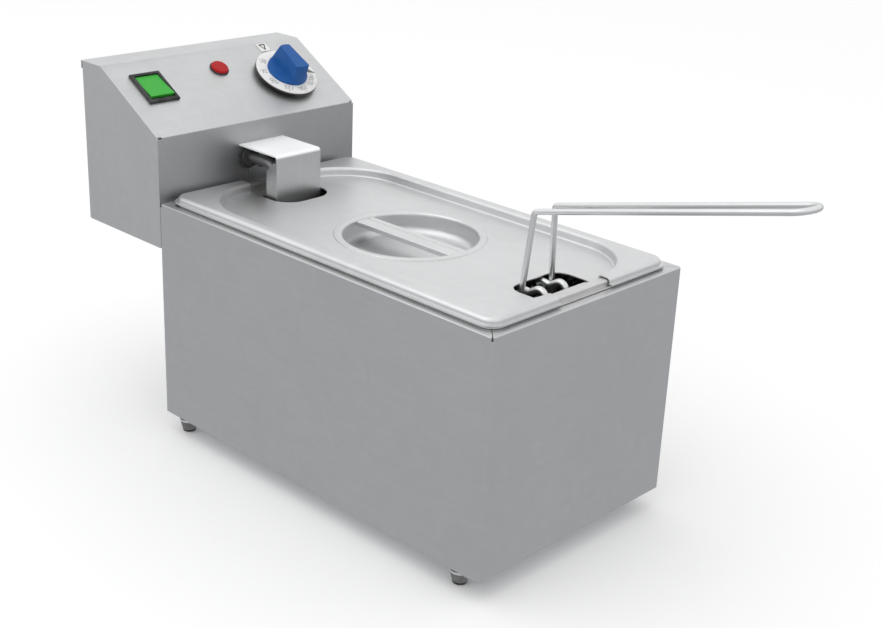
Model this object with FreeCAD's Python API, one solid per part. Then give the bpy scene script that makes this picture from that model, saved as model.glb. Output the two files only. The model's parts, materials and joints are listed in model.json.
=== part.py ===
import FreeCAD, Part
import math
import os

# Countertop deep fryer: a bent stainless body with a lift-out oil tank, a control head that
# carries the heating element and lifts off the rear, a wire basket with a lift-off wire handle,
# and a pressed lid with a finger well.
# Frame: +Z up, the front of the body faces -Y, X runs left to right, and the origin is the
# centre of the overall footprint on the surface the feet stand on.  Millimetres throughout.

V = FreeCAD.Vector

# ---- driving dimensions -------------------------------------------------------------------
sheet = 1.0                     # body, head and lid sheet
tank_sheet = 0.8                # deep-drawn tank sheet

body_width = 190.0
body_depth = 329.0
body_height = 168.0
body_bend = 2.5                 # radius of the vertical bends
body_flange = 14.0              # inward flanges at the foot and the rear of the body
corner_relief = 1.0             # radius of the bend-relief holes at the deck corners

foot_height = 16.2
foot_top_radius = 7.0
foot_bottom_radius = 4.9
foot_collar_height = 5.6
foot_washer_radius = 7.3
foot_washer_height = 1.8
foot_side_inset = 12.5          # foot centre from the side of the body
foot_front_inset = 27.0
foot_rear_inset = 11.0
stud_radius = 2.5
stud_bite = 4.0                 # depth of the stud in the rubber pad
stud_reach = 8.0                # stud above the base plate

screw_radius = 2.0
thread_reach = 6.0              # length of the panel screws under their heads
rear_screw_heights = (30.0, 84.0)
base_screw_shares = (0.3, 0.7)  # places of the base screws along the body
mitre_gap = 0.35                # seams at the corners of the deck

hanger_width = 60.0
hanger_sheet = 2.0
hanger_standoff = 4.0
hanger_tongue = 28.0            # how far the tongue reaches into the head
hanger_foot = 34.0              # height of the plate that is screwed to the body
hanger_shoulder = 8.0           # each side of the tongue
hanger_screw_x = 20.0
guide_sheet = 1.5
guide_lap = 5.0                 # how far the guides reach behind the tongue

head_depth = 93.0
head_drop = 35.0                # how far the head hangs below the deck
head_face_rise = 48.5           # front face above the deck
head_flat_depth = 23.0          # flat strip behind the sloped panel
panel_angle = 30.0
head_flange = 12.0
head_lip_reach = 2.6
head_lip_drop = 6.0
cover_screw_inset = 9.0
cover_screw_low = 12.0          # above the foot of the head
cover_screw_high = 22.0         # below the top of the head

tank_band_inset = 6.7           # tank band edge from the side of the body
tank_wall_inset = 27.5          # inner wall of the oil space
tank_depth = 130.0
tank_crown_bend = 1.4           # bends along the raised rim
tank_corner = 20.0
tank_floor_bend = 16.0

lid_lip_inset = 5.6
lid_rear_gap = 2.4              # lid edge to the face of the head
lid_riser_inset = 7.8
lid_rise = 6.5                  # top of the lid above the deck
lid_lip_rise = 2.5
lid_lip_thickness = 0.9
lid_pocket_inset = 17.6
lid_panel_rise = -0.5           # top of the sunk panel relative to the deck
lid_pocket_corner = 50.0
lid_outer_corner = 10.0
well_radius = 48.0
well_depth = 15.0
well_bead_radius = 54.3
well_bead_height = 0.9
grip_bar_width = 16.0
grip_bar_thickness = 1.2
grip_bar_drop = 0.6             # top of the bar below the lid's panel
grip_bar_hem = 3.4
grip_groove_x = 2.6             # the crease along the bar, right of its middle
grip_groove = 0.5

front_notch_half = 25.5
front_notch_depth = 51.5        # from the front of the body
front_notch_corner = 11.0
rear_notch_half = 25.0
rear_notch_depth = 58.5         # from the rear of the body
rear_notch_corner = 17.0

element_radius = 4.0
element_spacing = 26.0          # between the two ends in the head
element_entry_rise = 22.0       # ends of the element above the deck
element_drop_inset = 36.0       # vertical runs from the rear of the body
element_floor_gap = 8.0         # under the element
element_bend = 14.0
element_outer = 48.0            # half spacing of the outer runs
element_inner = 16.0            # half spacing of the inner runs
element_front_inset = 46.0      # front of the element from the front of the body

guard_plate_inset = 44.0        # front plate of the element guard, from the rear of the body
guard_width = 43.0
guard_rise = 32.5
guard_flange = 12.0
guard_sheet = 1.2
guard_foot_rise = 12.0          # lower edge of the guard above the element
guard_tab_height = 12.0
guard_stud_radius = 1.5
guard_stud_x = 14.0

rest_bar_thickness = 2.0
rest_bar_half = 5.0
rest_bar_leg = 1.2
rest_bar_front_gap = 42.0       # first bar behind the front of the element
rest_bar_rear_gap = 96.0        # last bar from the rear of the body
bulb_radius = 3.0
bulb_length = 92.0
bulb_x = 6.0
bulb_lead = 30.0                # front of the bulbs ahead of the middle of the body
clip_half = 3.0
clip_sheet = 1.2
clip_inset = 14.0               # clips from the ends of the bulbs
capillary_radius = 1.0
capillary_bend = 4.0
capillary_half_gap = 1.3        # each line from the middle, where both pass the gland
capillary_entry_rise = 14.7     # capillary gland above the deck
capillary_neck = 3.0

gland_radius = 9.2
gland_flange_height = 1.6
gland_boss_radius = 7.4
gland_boss_height = 4.6

basket_gap = 7.5                # basket to the tank wall, each side
basket_front_inset = 56.0
basket_rear_inset = 60.0
basket_rim_rise = -12.0         # rim wire relative to the deck
basket_wire = 2.5               # radius of the rim wire
rib_wire = 1.5
basket_corner = 12.0
mesh_sheet = 0.8
mesh_pitch = 13.0
mesh_bar = 3.0

handle_wire = 2.0
handle_spacing = 20.2           # between the two bars
handle_bend_rise = 49.0         # top of the legs above the deck
handle_bend_inset = 45.0        # top of the legs from the front of the body
handle_tip_reach = 143.5        # centre of the tip ahead of the front of the body
handle_pitch = 14.2
handle_bend = 3.0
handle_splay = 6.4              # how far each leg moves out on its way down
handle_lean = 3.2
handle_splay_end = -22.0        # where the legs turn straight down, relative to the deck
handle_leg_end = -74.0
socket_height = 16.0
socket_wall = 1.0
socket_rise = 4.0               # the leg stands this far through its socket

rib_count = 4
rib_end_inset = 24.0            # first and last cross rib from the basket's ends
rib_x = (-24.0, 24.0)
rib_bend = 6.0

hook_wire = 2.3
hook_spacing = 20.6
hook_bend = 5.0
hook_end_inset = 3.6            # centre of the hook's end from the tank wall
hook_trough = 12.9              # lowest point of the wave behind the hook's end

switch_x = -66.4
switch_slope = 50.0             # centre up the panel
switch_width = 26.4
switch_length = 31.2
rocker_width = 20.4
rocker_length = 24.0
rocker_crown = 2.3              # ends of the rocker above the panel
rocker_dish = 0.35
rocker_pivot = -4.0             # pivot below the panel
rocker_pin_radius = 1.2
rocker_throw = 12.0             # degrees from one side to the other
rocker_end_gap = 0.9
bezel_height = 2.2
lamp_slope = 59.0
lamp_radius = 7.7
lamp_ring_height = 1.2
lamp_lens_height = 2.9
dial_x = 51.2
dial_slope = 38.5
dial_radius = 25.4
dial_face = 6.2                 # white face above the panel
dial_sheet = 1.2
skirt_height = 1.5              # black ring under the white face
skirt_hub_radius = 14.0
knob_radius = 16.5
knob_base_height = 3.2
knob_height = 23.0              # top of the grip above the panel
knob_bite = 8.0                 # top of the shaft below the top of the grip
knob_grip_length = 28.0
knob_grip_width = 11.0
shaft_radius = 3.0

index_width = 9.5
index_length = 9.0
index_x = 55.0
index_slope = 74.5
index_sheet = 0.6

thermostat_depth = 38.0         # underside of the thermostat below the panel
thermostat_screw_reach = 19.0   # each side of the shaft, up and down the slope
thermostat_screw_radius = 1.3
bridge_thickness = 1.4
cutout_depth = 24.0
cutout_gap = 3.0                # cut-out from the inside of the back cover
reset_x = 58.0
reset_rise = 40.0               # reset button above the foot of the head
reset_radius = 3.0
reset_wall = 2.5                # wall of the collar round the button
reset_reach = 2.5
reset_stroke = 2.0
reset_depth = 14.0              # bore for the button inside the cut-out
terminal_x = -8.0
terminal_pitch = 13.0
cord_x = -58.0
cord_rise = 22.0                # cord gland above the foot of the head
cord_bore = 3.6
cord_gland_radius = 9.0
cord_gland_length = 15.0

# ---- clearances ---------------------------------------------------------------------------
seat_gap = 0.3                  # lift-off pieces over their seats
slide_gap = 0.5                 # lift-off pieces past fixed ones
fit_gap = 0.1                   # shafts and pins in their bores
skin_gap = 0.2                  # between panels of one casing

# ---- derived places -----------------------------------------------------------------------
deck_z = foot_height + body_height
base_z = foot_height
half_width = body_width / 2
rear_reach = seat_gap + head_depth + sheet + skin_gap + cord_gland_length
front_y = (handle_tip_reach + handle_wire - body_depth - rear_reach) / 2
rear_y = front_y + body_depth
head_y = rear_y + seat_gap
head_rear_y = head_y + head_depth
panel_run = head_depth - head_flat_depth
panel_rise = panel_run * math.tan(math.radians(panel_angle))
panel_foot_z = deck_z + head_face_rise
head_top_z = panel_foot_z + panel_rise
head_base_z = deck_z - head_drop
body_mid_y = front_y + body_depth / 2
lid_front_y = front_y + lid_lip_inset
lid_rear_y = rear_y - lid_rear_gap
tank_floor_z = deck_z - tank_depth
element_z = tank_floor_z + element_floor_gap + element_radius
element_drop_y = rear_y - element_drop_inset
element_entry_z = deck_z + element_entry_rise
guard_y = rear_y - guard_plate_inset
basket_half = half_width - tank_wall_inset - basket_gap
basket_front_y = front_y + basket_front_inset
basket_rear_y = rear_y - basket_rear_inset
basket_rim_z = deck_z + basket_rim_rise
rest_bar_z = element_z + element_radius + skin_gap
basket_floor_z = rest_bar_z + rest_bar_thickness + seat_gap + 2 * rib_wire
leg_half = handle_spacing / 2 + handle_splay
leg_y = front_y + handle_bend_inset + handle_lean
leg_end_z = deck_z + handle_leg_end
hook_end_y = front_y + tank_wall_inset + hook_end_inset
tank_crown_inset = lid_riser_inset + sheet + slide_gap
tank_step_inset = lid_pocket_inset - sheet - slide_gap
foot_x = half_width - foot_side_inset
foot_spots = [(x, y) for x in (-foot_x, foot_x)
              for y in (front_y + foot_front_inset, rear_y - foot_rear_inset)]
foot_washer_z = foot_height - foot_collar_height - foot_washer_height
rear_screw_x = half_width - sheet - body_flange / 2
base_screw_y = [front_y + body_depth * share for share in base_screw_shares]
hanger_shelf_z = head_base_z - seat_gap
hanger_screw_z = hanger_shelf_z - hanger_foot / 2
hanger_tongue_half = hanger_width / 2 - hanger_shoulder
lid_top_z = deck_z + lid_rise
lid_panel_z = deck_z + lid_panel_rise
lid_lip_z = deck_z + lid_lip_rise
lid_riser_rear_y = lid_rear_y - (lid_riser_inset - lid_lip_inset)
cover_y = head_rear_y
cover_face_y = cover_y + skin_gap / 2 + sheet
cover_screw_x = half_width - cover_screw_inset
cover_screw_z = (head_base_z + cover_screw_low, head_top_z - cover_screw_high)
capillary_hole_z = deck_z + capillary_entry_rise
capillary_z = element_z - element_radius - 3.2
gland_spots = (-element_spacing / 2, element_spacing / 2)
gland_bore_radius = element_radius + 2.2
bezel_cut_width = switch_width - 4.2
bezel_cut_length = switch_length - 3.4
lamp_hole_radius = lamp_radius - 1.9
shaft_hole_radius = shaft_radius + 1.5
guard_stud_z = deck_z + guard_rise + guard_tab_height / 2
rest_bar_y = [front_y + element_front_inset + rest_bar_front_gap, body_mid_y,
              rear_y - rest_bar_rear_gap]
bulb_front_y = body_mid_y - bulb_lead
reset_z = head_base_z + reset_rise
reset_collar_radius = reset_radius + reset_wall
reset_face_y = cover_face_y + 3
cutout_rear_y = cover_y - cutout_gap
cutout_front_y = cutout_rear_y - cutout_depth
terminal_z = head_base_z + sheet
terminal_spots = [terminal_x + (i - 1.5) * terminal_pitch for i in range(4)]
cord_z = head_base_z + cord_rise
cord_hole_radius = cord_gland_radius - 2
mesh_edge = basket_half - basket_wire - skin_gap
mesh_front = basket_front_y + basket_wire + skin_gap
mesh_rear = basket_rear_y - basket_wire - skin_gap
mesh_top = basket_rim_z + basket_wire
rib_step = (basket_rear_y - basket_front_y - 2 * rib_end_inset) / (rib_count - 1)
rib_y = [basket_front_y + rib_end_inset + i * rib_step for i in range(rib_count)]


# ---- helpers ------------------------------------------------------------------------------
def box(x0, x1, y0, y1, z0, z1):
    return Part.makeBox(x1 - x0, y1 - y0, z1 - z0, V(x0, y0, z0))


def rod(start, direction, radius, length):
    return Part.makeCylinder(radius, length, start, direction)


def join(shapes):
    result = shapes[0]
    for shape in shapes[1:]:
        result = result.fuse(shape)
    return result.removeSplitter()


def group(shapes):
    return Part.makeCompound(shapes)


def polygon(points):
    return Part.Face(Part.makePolygon(list(points) + [points[0]]))


def plate_x(points, x0, x1):
    """Extrude an outline of (y, z) points from x0 to x1."""
    face = polygon([V(x0, y, z) for y, z in points])
    return face.extrude(V(x1 - x0, 0, 0))


def rounded_block(x0, x1, y0, y1, z0, z1, radius):
    block = box(x0, x1, y0, y1, z0, z1)
    upright = [e for e in block.Edges if abs(e.tangentAt(e.FirstParameter).z) > 0.99]
    return block.makeFillet(radius, upright)


def flat_edges(shape, z):
    """Edges that lie wholly at one height."""
    found = []
    for edge in shape.Edges:
        limits = edge.BoundBox
        if abs(limits.ZMin - z) < 1e-4 and abs(limits.ZMax - z) < 1e-4:
            found.append(edge)
    return found


def bent_path(points, radius, closed=False):
    """Straight runs through the points, joined by tangent arcs of one radius."""
    count = len(points)
    corners = range(count) if closed else range(1, count - 1)
    trimmed = {}
    for i in corners:
        here = points[i]
        back = (points[i - 1] - here).normalize()
        ahead = (points[(i + 1) % count] - here).normalize()
        half_angle = back.getAngle(ahead) / 2
        setback = radius / math.tan(half_angle)
        middle = (back + ahead).normalize()
        reach = radius / math.sin(half_angle) - radius
        trimmed[i] = (here + back * setback, here + middle * reach, here + ahead * setback)
    edges = []
    last = points[0]
    if closed:
        last = trimmed[0][2]
    for i in list(corners)[1 if closed else 0:]:
        start, middle, end = trimmed[i]
        if (start - last).Length > 1e-6:
            edges.append(Part.LineSegment(last, start).toShape())
        edges.append(Part.Arc(start, middle, end).toShape())
        last = end
    if closed:
        start, middle, end = trimmed[0]
        edges.append(Part.LineSegment(last, start).toShape())
        edges.append(Part.Arc(start, middle, end).toShape())
    else:
        edges.append(Part.LineSegment(last, points[-1]).toShape())
    return edges


def tube(points, wire_radius, bend_radius, closed=False):
    """A round bar bent along a path, built run by run so that every piece stays exact."""
    pieces = []
    for edge in bent_path(points, bend_radius, closed):
        start = edge.valueAt(edge.FirstParameter)
        direction = edge.tangentAt(edge.FirstParameter)
        section = Part.Wire([Part.makeCircle(wire_radius, start, direction)])
        pieces.append(Part.Wire([edge]).makePipeShell([section], True, False))
    return join(pieces)


def to_panel(shape):
    """Move a shape drawn on the sloped panel (x, up the slope, out of the panel) into place."""
    moved = shape.copy()
    moved.rotate(V(0, 0, 0), V(1, 0, 0), panel_angle)
    moved.translate(V(0, head_y, panel_foot_z))
    return moved


def hex_nut(centre, direction, across, height, bore):
    corner = across / math.sqrt(3)
    ring = [V(corner * math.cos(math.radians(a)), corner * math.sin(math.radians(a)), 0)
            for a in range(0, 360, 60)]
    nut = polygon(ring).extrude(V(0, 0, height))
    nut = nut.cut(Part.makeCylinder(bore, height))
    nut.Placement = FreeCAD.Placement(centre, FreeCAD.Rotation(V(0, 0, 1), direction))
    return nut


def pan_screw(seat, direction, radius, length):
    """A pan-head screw: the head stands on the seat, the shank runs the other way."""
    head = Part.makeCylinder(radius * 2, radius * 1.1)
    head = head.makeFillet(radius * 0.5, [flat_edges(head, radius * 1.1)[0]])
    slot = box(-radius * 1.3, radius * 1.3, -0.4, 0.4, radius * 0.6, radius * 1.2)
    cross = box(-0.4, 0.4, -radius * 1.3, radius * 1.3, radius * 0.6, radius * 1.2)
    shank = Part.makeCylinder(radius, length, V(0, 0, -length))
    screw = join([head.cut(slot).cut(cross), shank])
    screw.Placement = FreeCAD.Placement(seat, FreeCAD.Rotation(V(0, 0, 1), direction))
    return screw


# ---- body ---------------------------------------------------------------------------------
def body_shell():
    skin = box(-half_width, half_width, front_y, rear_y, base_z, deck_z)
    front_bends = [e for e in skin.Edges
                   if abs(e.tangentAt(e.FirstParameter).z) > 0.99 and e.BoundBox.YMax < body_mid_y]
    skin = skin.makeFillet(body_bend, front_bends)
    skin = skin.makeFillet(sheet * 0.6, [e for e in flat_edges(skin, deck_z)
                                         if e.BoundBox.YMin < rear_y - 1])
    inner = box(-half_width + sheet, half_width - sheet, front_y + sheet, rear_y + 1,
                base_z - 1, deck_z - sheet)
    front_inner = [e for e in inner.Edges
                   if abs(e.tangentAt(e.FirstParameter).z) > 0.99 and e.BoundBox.YMax < body_mid_y]
    inner = inner.makeFillet(body_bend - sheet, front_inner)
    shell = skin.cut(inner)
    floor = box(-half_width + sheet, half_width - sheet, front_y + sheet, rear_y - 2 * sheet,
                base_z, base_z + sheet)
    floor = floor.makeFillet(body_bend - sheet, [e for e in floor.Edges
                             if abs(e.tangentAt(e.FirstParameter).z) > 0.99
                             and e.BoundBox.YMax < body_mid_y])
    floor = floor.cut(box(-half_width + body_flange + foot_side_inset,
                          half_width - body_flange - foot_side_inset,
                          front_y + foot_front_inset + body_flange, rear_y,
                          base_z - 1, base_z + sheet + 1))
    shell = join([shell, floor])
    for side in (-1, 1):
        outer = side * (half_width - sheet)
        tip = side * (half_width - sheet - body_flange)
        flange = box(min(outer, tip), max(outer, tip), rear_y - 2 * sheet - skin_gap,
                     rear_y - sheet - skin_gap, base_z, deck_z - sheet)
        shell = join([shell, flange])
    opening_inset = tank_step_inset - tank_sheet - slide_gap
    opening = rounded_block(-half_width + opening_inset, half_width - opening_inset,
                            front_y + opening_inset, rear_y - opening_inset,
                            deck_z - sheet - 1, deck_z + 1, lid_outer_corner)
    shell = shell.cut(opening)
    seam_length = opening_inset * math.sqrt(2)
    for side in (-1, 1):
        for end_y, turn in ((front_y, 45), (rear_y, -45)):
            corner = V(side * (half_width - corner_relief * 0.7),
                       end_y + corner_relief * math.copysign(0.7, turn), deck_z - 3 * sheet)
            relief = Part.makeCylinder(corner_relief, 4 * sheet)
            seam = box(0, seam_length, -mitre_gap / 2, mitre_gap / 2, 0, 4 * sheet)
            seam.rotate(V(0, 0, 0), V(0, 0, 1), turn if side < 0 else 180 - turn)
            for cutter in (relief, seam):
                cutter.translate(corner)
                shell = shell.cut(cutter)
    for x, y in foot_spots:
        shell = shell.cut(rod(V(x, y, base_z - 1), V(0, 0, 1), stud_radius + fit_gap, sheet + 2))
    for x in (-rear_screw_x, rear_screw_x):
        for height in rear_screw_heights:
            hole = rod(V(x, rear_y - 10, base_z + height), V(0, 1, 0), screw_radius, 12)
            shell = shell.cut(hole)
    for y in base_screw_y:
        for x in (-foot_x, foot_x):
            shell = shell.cut(rod(V(x, y, base_z - 1), V(0, 0, 1), screw_radius, sheet + 2))
    return shell


def body_rear_panel():
    edge = sheet + skin_gap
    panel = box(-half_width + edge, half_width - edge, rear_y - sheet, rear_y,
                base_z + skin_gap, deck_z - edge)
    for x in (-rear_screw_x, rear_screw_x):
        for height in rear_screw_heights:
            panel = panel.cut(rod(V(x, rear_y - 5, base_z + height), V(0, 1, 0), screw_radius, 8))
    for x in (-hanger_screw_x, hanger_screw_x):
        panel = panel.cut(rod(V(x, rear_y - 5, hanger_screw_z), V(0, 1, 0), screw_radius, 8))
    for row in range(5):
        for side in (-1, 1):
            z = base_z + 14 + row * 9
            x = side * 32
            slot = box(x - 22, x + 22, rear_y - 3, rear_y + 2, z, z + 3.5)
            panel = panel.cut(slot)
    return panel


def rear_panel_screws():
    screws = []
    for x in (-rear_screw_x, rear_screw_x):
        for height in rear_screw_heights:
            screws.append(pan_screw(V(x, rear_y, base_z + height), V(0, 1, 0), screw_radius,
                                    thread_reach))
    return group(screws)


def base_plate():
    edge = sheet + skin_gap
    low = base_z + sheet
    plate = box(-half_width + edge, half_width - edge, front_y + edge,
                rear_y - 2 * sheet - 2 * skin_gap, low, low + sheet)
    plate = plate.makeFillet(body_bend, [e for e in plate.Edges
                             if abs(e.tangentAt(e.FirstParameter).z) > 0.99
                             and e.BoundBox.YMax < body_mid_y])
    for x, y in foot_spots:
        plate = plate.cut(rod(V(x, y, low - 1), V(0, 0, 1), stud_radius + fit_gap, sheet + 2))
    for y in base_screw_y:
        for x in (-foot_x, foot_x):
            plate = plate.cut(rod(V(x, y, low - 1), V(0, 0, 1), screw_radius, sheet + 2))
    for row in range(6):
        for side in (-1, 1):
            y = body_mid_y - 50 + row * 20
            slot = box(side * 30 - 20, side * 30 + 20, y - 2, y + 2, low - 1, low + sheet + 1)
            plate = plate.cut(slot)
    return plate


def base_screws():
    screws = []
    for y in base_screw_y:
        for x in (-foot_x, foot_x):
            screws.append(pan_screw(V(x, y, base_z), V(0, 0, -1), screw_radius, thread_reach))
    return group(screws)


def turned(profile, x, y):
    """Spin an (r, z) outline about the upright through x, y; a third value bulges the run."""
    edges = []
    for i, (r, z, bulge) in enumerate(profile):
        next_r, next_z, _ = profile[(i + 1) % len(profile)]
        start = V(r, 0, z)
        end = V(next_r, 0, next_z)
        if bulge:
            along = (end - start).normalize()
            middle = (start + end) * 0.5 + V(along.z, 0, -along.x) * bulge
            edges.append(Part.Arc(start, middle, end).toShape())
        else:
            edges.append(Part.LineSegment(start, end).toShape())
    solid = Part.Face(Part.Wire(edges)).revolve(V(0, 0, 0), V(0, 0, 1), 360)
    solid.translate(V(x, y, 0))
    return solid


def foot_collars():
    """Rubber bushes between the base and the washers."""
    collars = []
    low = foot_washer_z + foot_washer_height
    for x, y in foot_spots:
        collar = rod(V(x, y, low), V(0, 0, 1), foot_top_radius, foot_collar_height)
        collar = collar.makeFillet(0.5, flat_edges(collar, base_z))
        collars.append(collar.cut(rod(V(x, y, low), V(0, 0, 1), stud_radius, foot_collar_height)))
    return group(collars)


def foot_washers():
    rings = []
    for x, y in foot_spots:
        ring = rod(V(x, y, foot_washer_z), V(0, 0, 1), foot_washer_radius, foot_washer_height)
        ring = ring.makeFillet(0.5, flat_edges(ring, foot_washer_z)
                               + flat_edges(ring, foot_washer_z + foot_washer_height))
        rings.append(ring.cut(rod(V(x, y, foot_washer_z), V(0, 0, 1), stud_radius,
                                  foot_washer_height)))
    return group(rings)


def foot_pads():
    """Bowl-shaped rubber feet, each with a blind hole for its stud."""
    pads = []
    sole = 0.8
    for x, y in foot_spots:
        profile = [(0, 0, 0), (foot_bottom_radius - sole, 0, 0), (foot_bottom_radius, sole, 0.6),
                   (foot_top_radius, foot_washer_z, 0), (0, foot_washer_z, 0)]
        pad = turned(profile, x, y)
        hole = rod(V(x, y, foot_washer_z - stud_bite), V(0, 0, 1), stud_radius, stud_bite)
        pads.append(pad.cut(hole))
    return group(pads)


def foot_studs():
    studs = []
    low = foot_washer_z - stud_bite
    top = base_z + 2 * sheet
    for x, y in foot_spots:
        stud = rod(V(x, y, low), V(0, 0, 1), stud_radius, top + stud_reach - low)
        nut = hex_nut(V(x, y, top), V(0, 0, 1), 8, 4, stud_radius)
        studs.append(join([stud, nut]))
    return group(studs)


def hanger_bracket():
    """Plate on the rear of the body with a shelf and a tongue that the head drops over."""
    low = hanger_shelf_z - hanger_foot
    foot = box(-hanger_width / 2, hanger_width / 2, rear_y, rear_y + hanger_sheet,
               low, hanger_shelf_z)
    shelf = box(-hanger_width / 2, hanger_width / 2, rear_y,
                rear_y + hanger_standoff + 2 * hanger_sheet,
                hanger_shelf_z - hanger_sheet, hanger_shelf_z)
    tongue = box(-hanger_tongue_half, hanger_tongue_half, rear_y + hanger_standoff,
                 rear_y + hanger_standoff + hanger_sheet,
                 hanger_shelf_z - hanger_sheet, head_base_z + hanger_tongue)
    tongue = tongue.makeChamfer(hanger_sheet * 0.35, flat_edges(tongue, head_base_z + hanger_tongue))
    bracket = join([foot, shelf, tongue])
    for x in (-hanger_screw_x, hanger_screw_x):
        bracket = bracket.cut(rod(V(x, rear_y - 1, hanger_screw_z), V(0, 1, 0), screw_radius, 8))
    return bracket


def hanger_screws():
    screws = []
    for x in (-hanger_screw_x, hanger_screw_x):
        seat = V(x, rear_y + hanger_sheet, hanger_screw_z)
        screws.append(pan_screw(seat, V(0, 1, 0), screw_radius, 8))
    return group(screws)


# ---- oil tank -----------------------------------------------------------------------------
def tank_mass(offset):
    """Everything under the tank's upper surface, or under its lower one when offset is set."""
    low = tank_floor_z - 20
    crown_top = lid_top_z - sheet - 2 * seat_gap
    mass = rounded_block(-half_width + tank_band_inset, half_width - tank_band_inset,
                         front_y + tank_band_inset, rear_y - tank_band_inset,
                         low, deck_z + seat_gap + tank_sheet - offset, lid_outer_corner)
    crown_edge = tank_crown_inset + offset
    crown = rounded_block(-half_width + crown_edge, half_width - crown_edge,
                          front_y + crown_edge, rear_y - crown_edge,
                          low, crown_top - offset, lid_outer_corner - offset)
    crown = crown.makeFillet(tank_crown_bend - offset, flat_edges(crown, crown_top - offset))
    mass = mass.fuse(crown)
    step = tank_step_inset - offset
    shelf_z = deck_z + lid_panel_rise - sheet - seat_gap - offset
    pocket = rounded_block(-half_width + step, half_width - step, front_y + step, rear_y - step,
                           shelf_z, crown_top + 1, lid_pocket_corner + sheet + slide_gap + offset)
    wall = tank_wall_inset - offset
    floor_z = tank_floor_z - offset
    well = rounded_block(-half_width + wall, half_width - wall, front_y + wall, rear_y - wall,
                         floor_z, crown_top + 1, tank_corner + offset)
    well = well.makeFillet(tank_floor_bend + offset, flat_edges(well, floor_z))
    mass = mass.cut(pocket)
    rim = [e for e in flat_edges(mass, crown_top - offset)
           if e.BoundBox.XMin > -half_width + step - 1 and e.BoundBox.XMax < half_width - step + 1
           and e.BoundBox.YMin > front_y + step - 1 and e.BoundBox.YMax < rear_y - step + 1]
    mass = mass.makeFillet(tank_crown_bend - offset, rim)
    return mass.cut(well)


def oil_tank():
    return tank_mass(0).cut(tank_mass(tank_sheet))


# ---- lid ----------------------------------------------------------------------------------


def lid_mass(offset):
    """Everything under the lid's upper surface, or under its lower one when offset is set."""
    low = lid_panel_z - well_depth - 20
    edge = lid_riser_inset + offset
    mass = rounded_block(-half_width + edge, half_width - edge, front_y + edge,
                         lid_riser_rear_y - offset, low, lid_top_z - offset,
                         lid_outer_corner - offset)
    mass = mass.makeFillet(3.0 - offset, flat_edges(mass, lid_top_z - offset))
    pocket_inset = lid_pocket_inset - offset
    pocket = rounded_block(-half_width + pocket_inset, half_width - pocket_inset,
                           front_y + pocket_inset, rear_y - pocket_inset,
                           lid_panel_z - offset, lid_top_z + 5, lid_pocket_corner + offset)
    pocket = pocket.makeFillet(1.6 + offset, flat_edges(pocket, lid_panel_z - offset))
    mass = mass.cut(pocket)
    rim_edges = [e for e in flat_edges(mass, lid_top_z - offset)
                 if e.BoundBox.XMax < half_width - pocket_inset + 1
                 and e.BoundBox.XMin > -half_width + pocket_inset - 1
                 and e.BoundBox.YMin > front_y + pocket_inset - 1
                 and e.BoundBox.YMax < rear_y - pocket_inset + 1]
    mass = mass.makeFillet(2.6 - offset, rim_edges)
    bead = rod(V(0, body_mid_y, low), V(0, 0, 1), well_bead_radius - offset,
               lid_panel_z + well_bead_height - offset - low)
    bead = bead.makeFillet(well_bead_height * 0.9, flat_edges(bead, lid_panel_z + well_bead_height
                                                              - offset))
    mass = mass.fuse(bead)
    floor_z = lid_panel_z - well_depth - offset
    well = rod(V(0, body_mid_y, floor_z), V(0, 0, 1), well_radius + offset, 60)
    well = well.makeFillet(6.0 + offset, flat_edges(well, floor_z))
    mass = mass.cut(well)
    mouth = [e for e in flat_edges(mass, lid_panel_z + well_bead_height - offset)
             if abs(e.BoundBox.XMax - well_radius - offset) < 0.5]
    return mass.makeFillet(2.4 - offset, mouth)


def front_notch():
    return rounded_block(-front_notch_half, front_notch_half, front_y - 40,
                         front_y + front_notch_depth, deck_z - 60, deck_z + 60,
                         front_notch_corner)


def rear_notch():
    return rounded_block(-rear_notch_half, rear_notch_half, rear_y - rear_notch_depth,
                         rear_y + 40, deck_z - 60, deck_z + 60, rear_notch_corner)


def lid_plate():
    pressed = lid_mass(0).cut(lid_mass(sheet))
    under = lid_lip_z - lid_lip_thickness
    pocket_edge = lid_pocket_inset - sheet
    keep_inner = rounded_block(-half_width + pocket_edge, half_width - pocket_edge,
                               front_y + pocket_edge, rear_y - pocket_edge,
                               lid_panel_z - well_depth - 30, lid_top_z + 5,
                               lid_pocket_corner + sheet)
    keep_rim = box(-half_width, half_width, front_y, rear_y, under, lid_top_z + 5)
    pressed = pressed.common(join([keep_inner, keep_rim]))
    lip = rounded_block(-half_width + lid_lip_inset, half_width - lid_lip_inset,
                        lid_front_y, lid_rear_y, under, lid_lip_z, lid_outer_corner + 2)
    inner_edge = lid_riser_inset + sheet * 0.5
    lip_inner = rounded_block(-half_width + inner_edge, half_width - inner_edge,
                              front_y + inner_edge, lid_riser_rear_y - sheet * 0.5,
                              under - 1, lid_lip_z + 1, lid_outer_corner)
    plate = join([pressed, lip.cut(lip_inner)])
    return plate.cut(front_notch()).cut(rear_notch())


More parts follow.
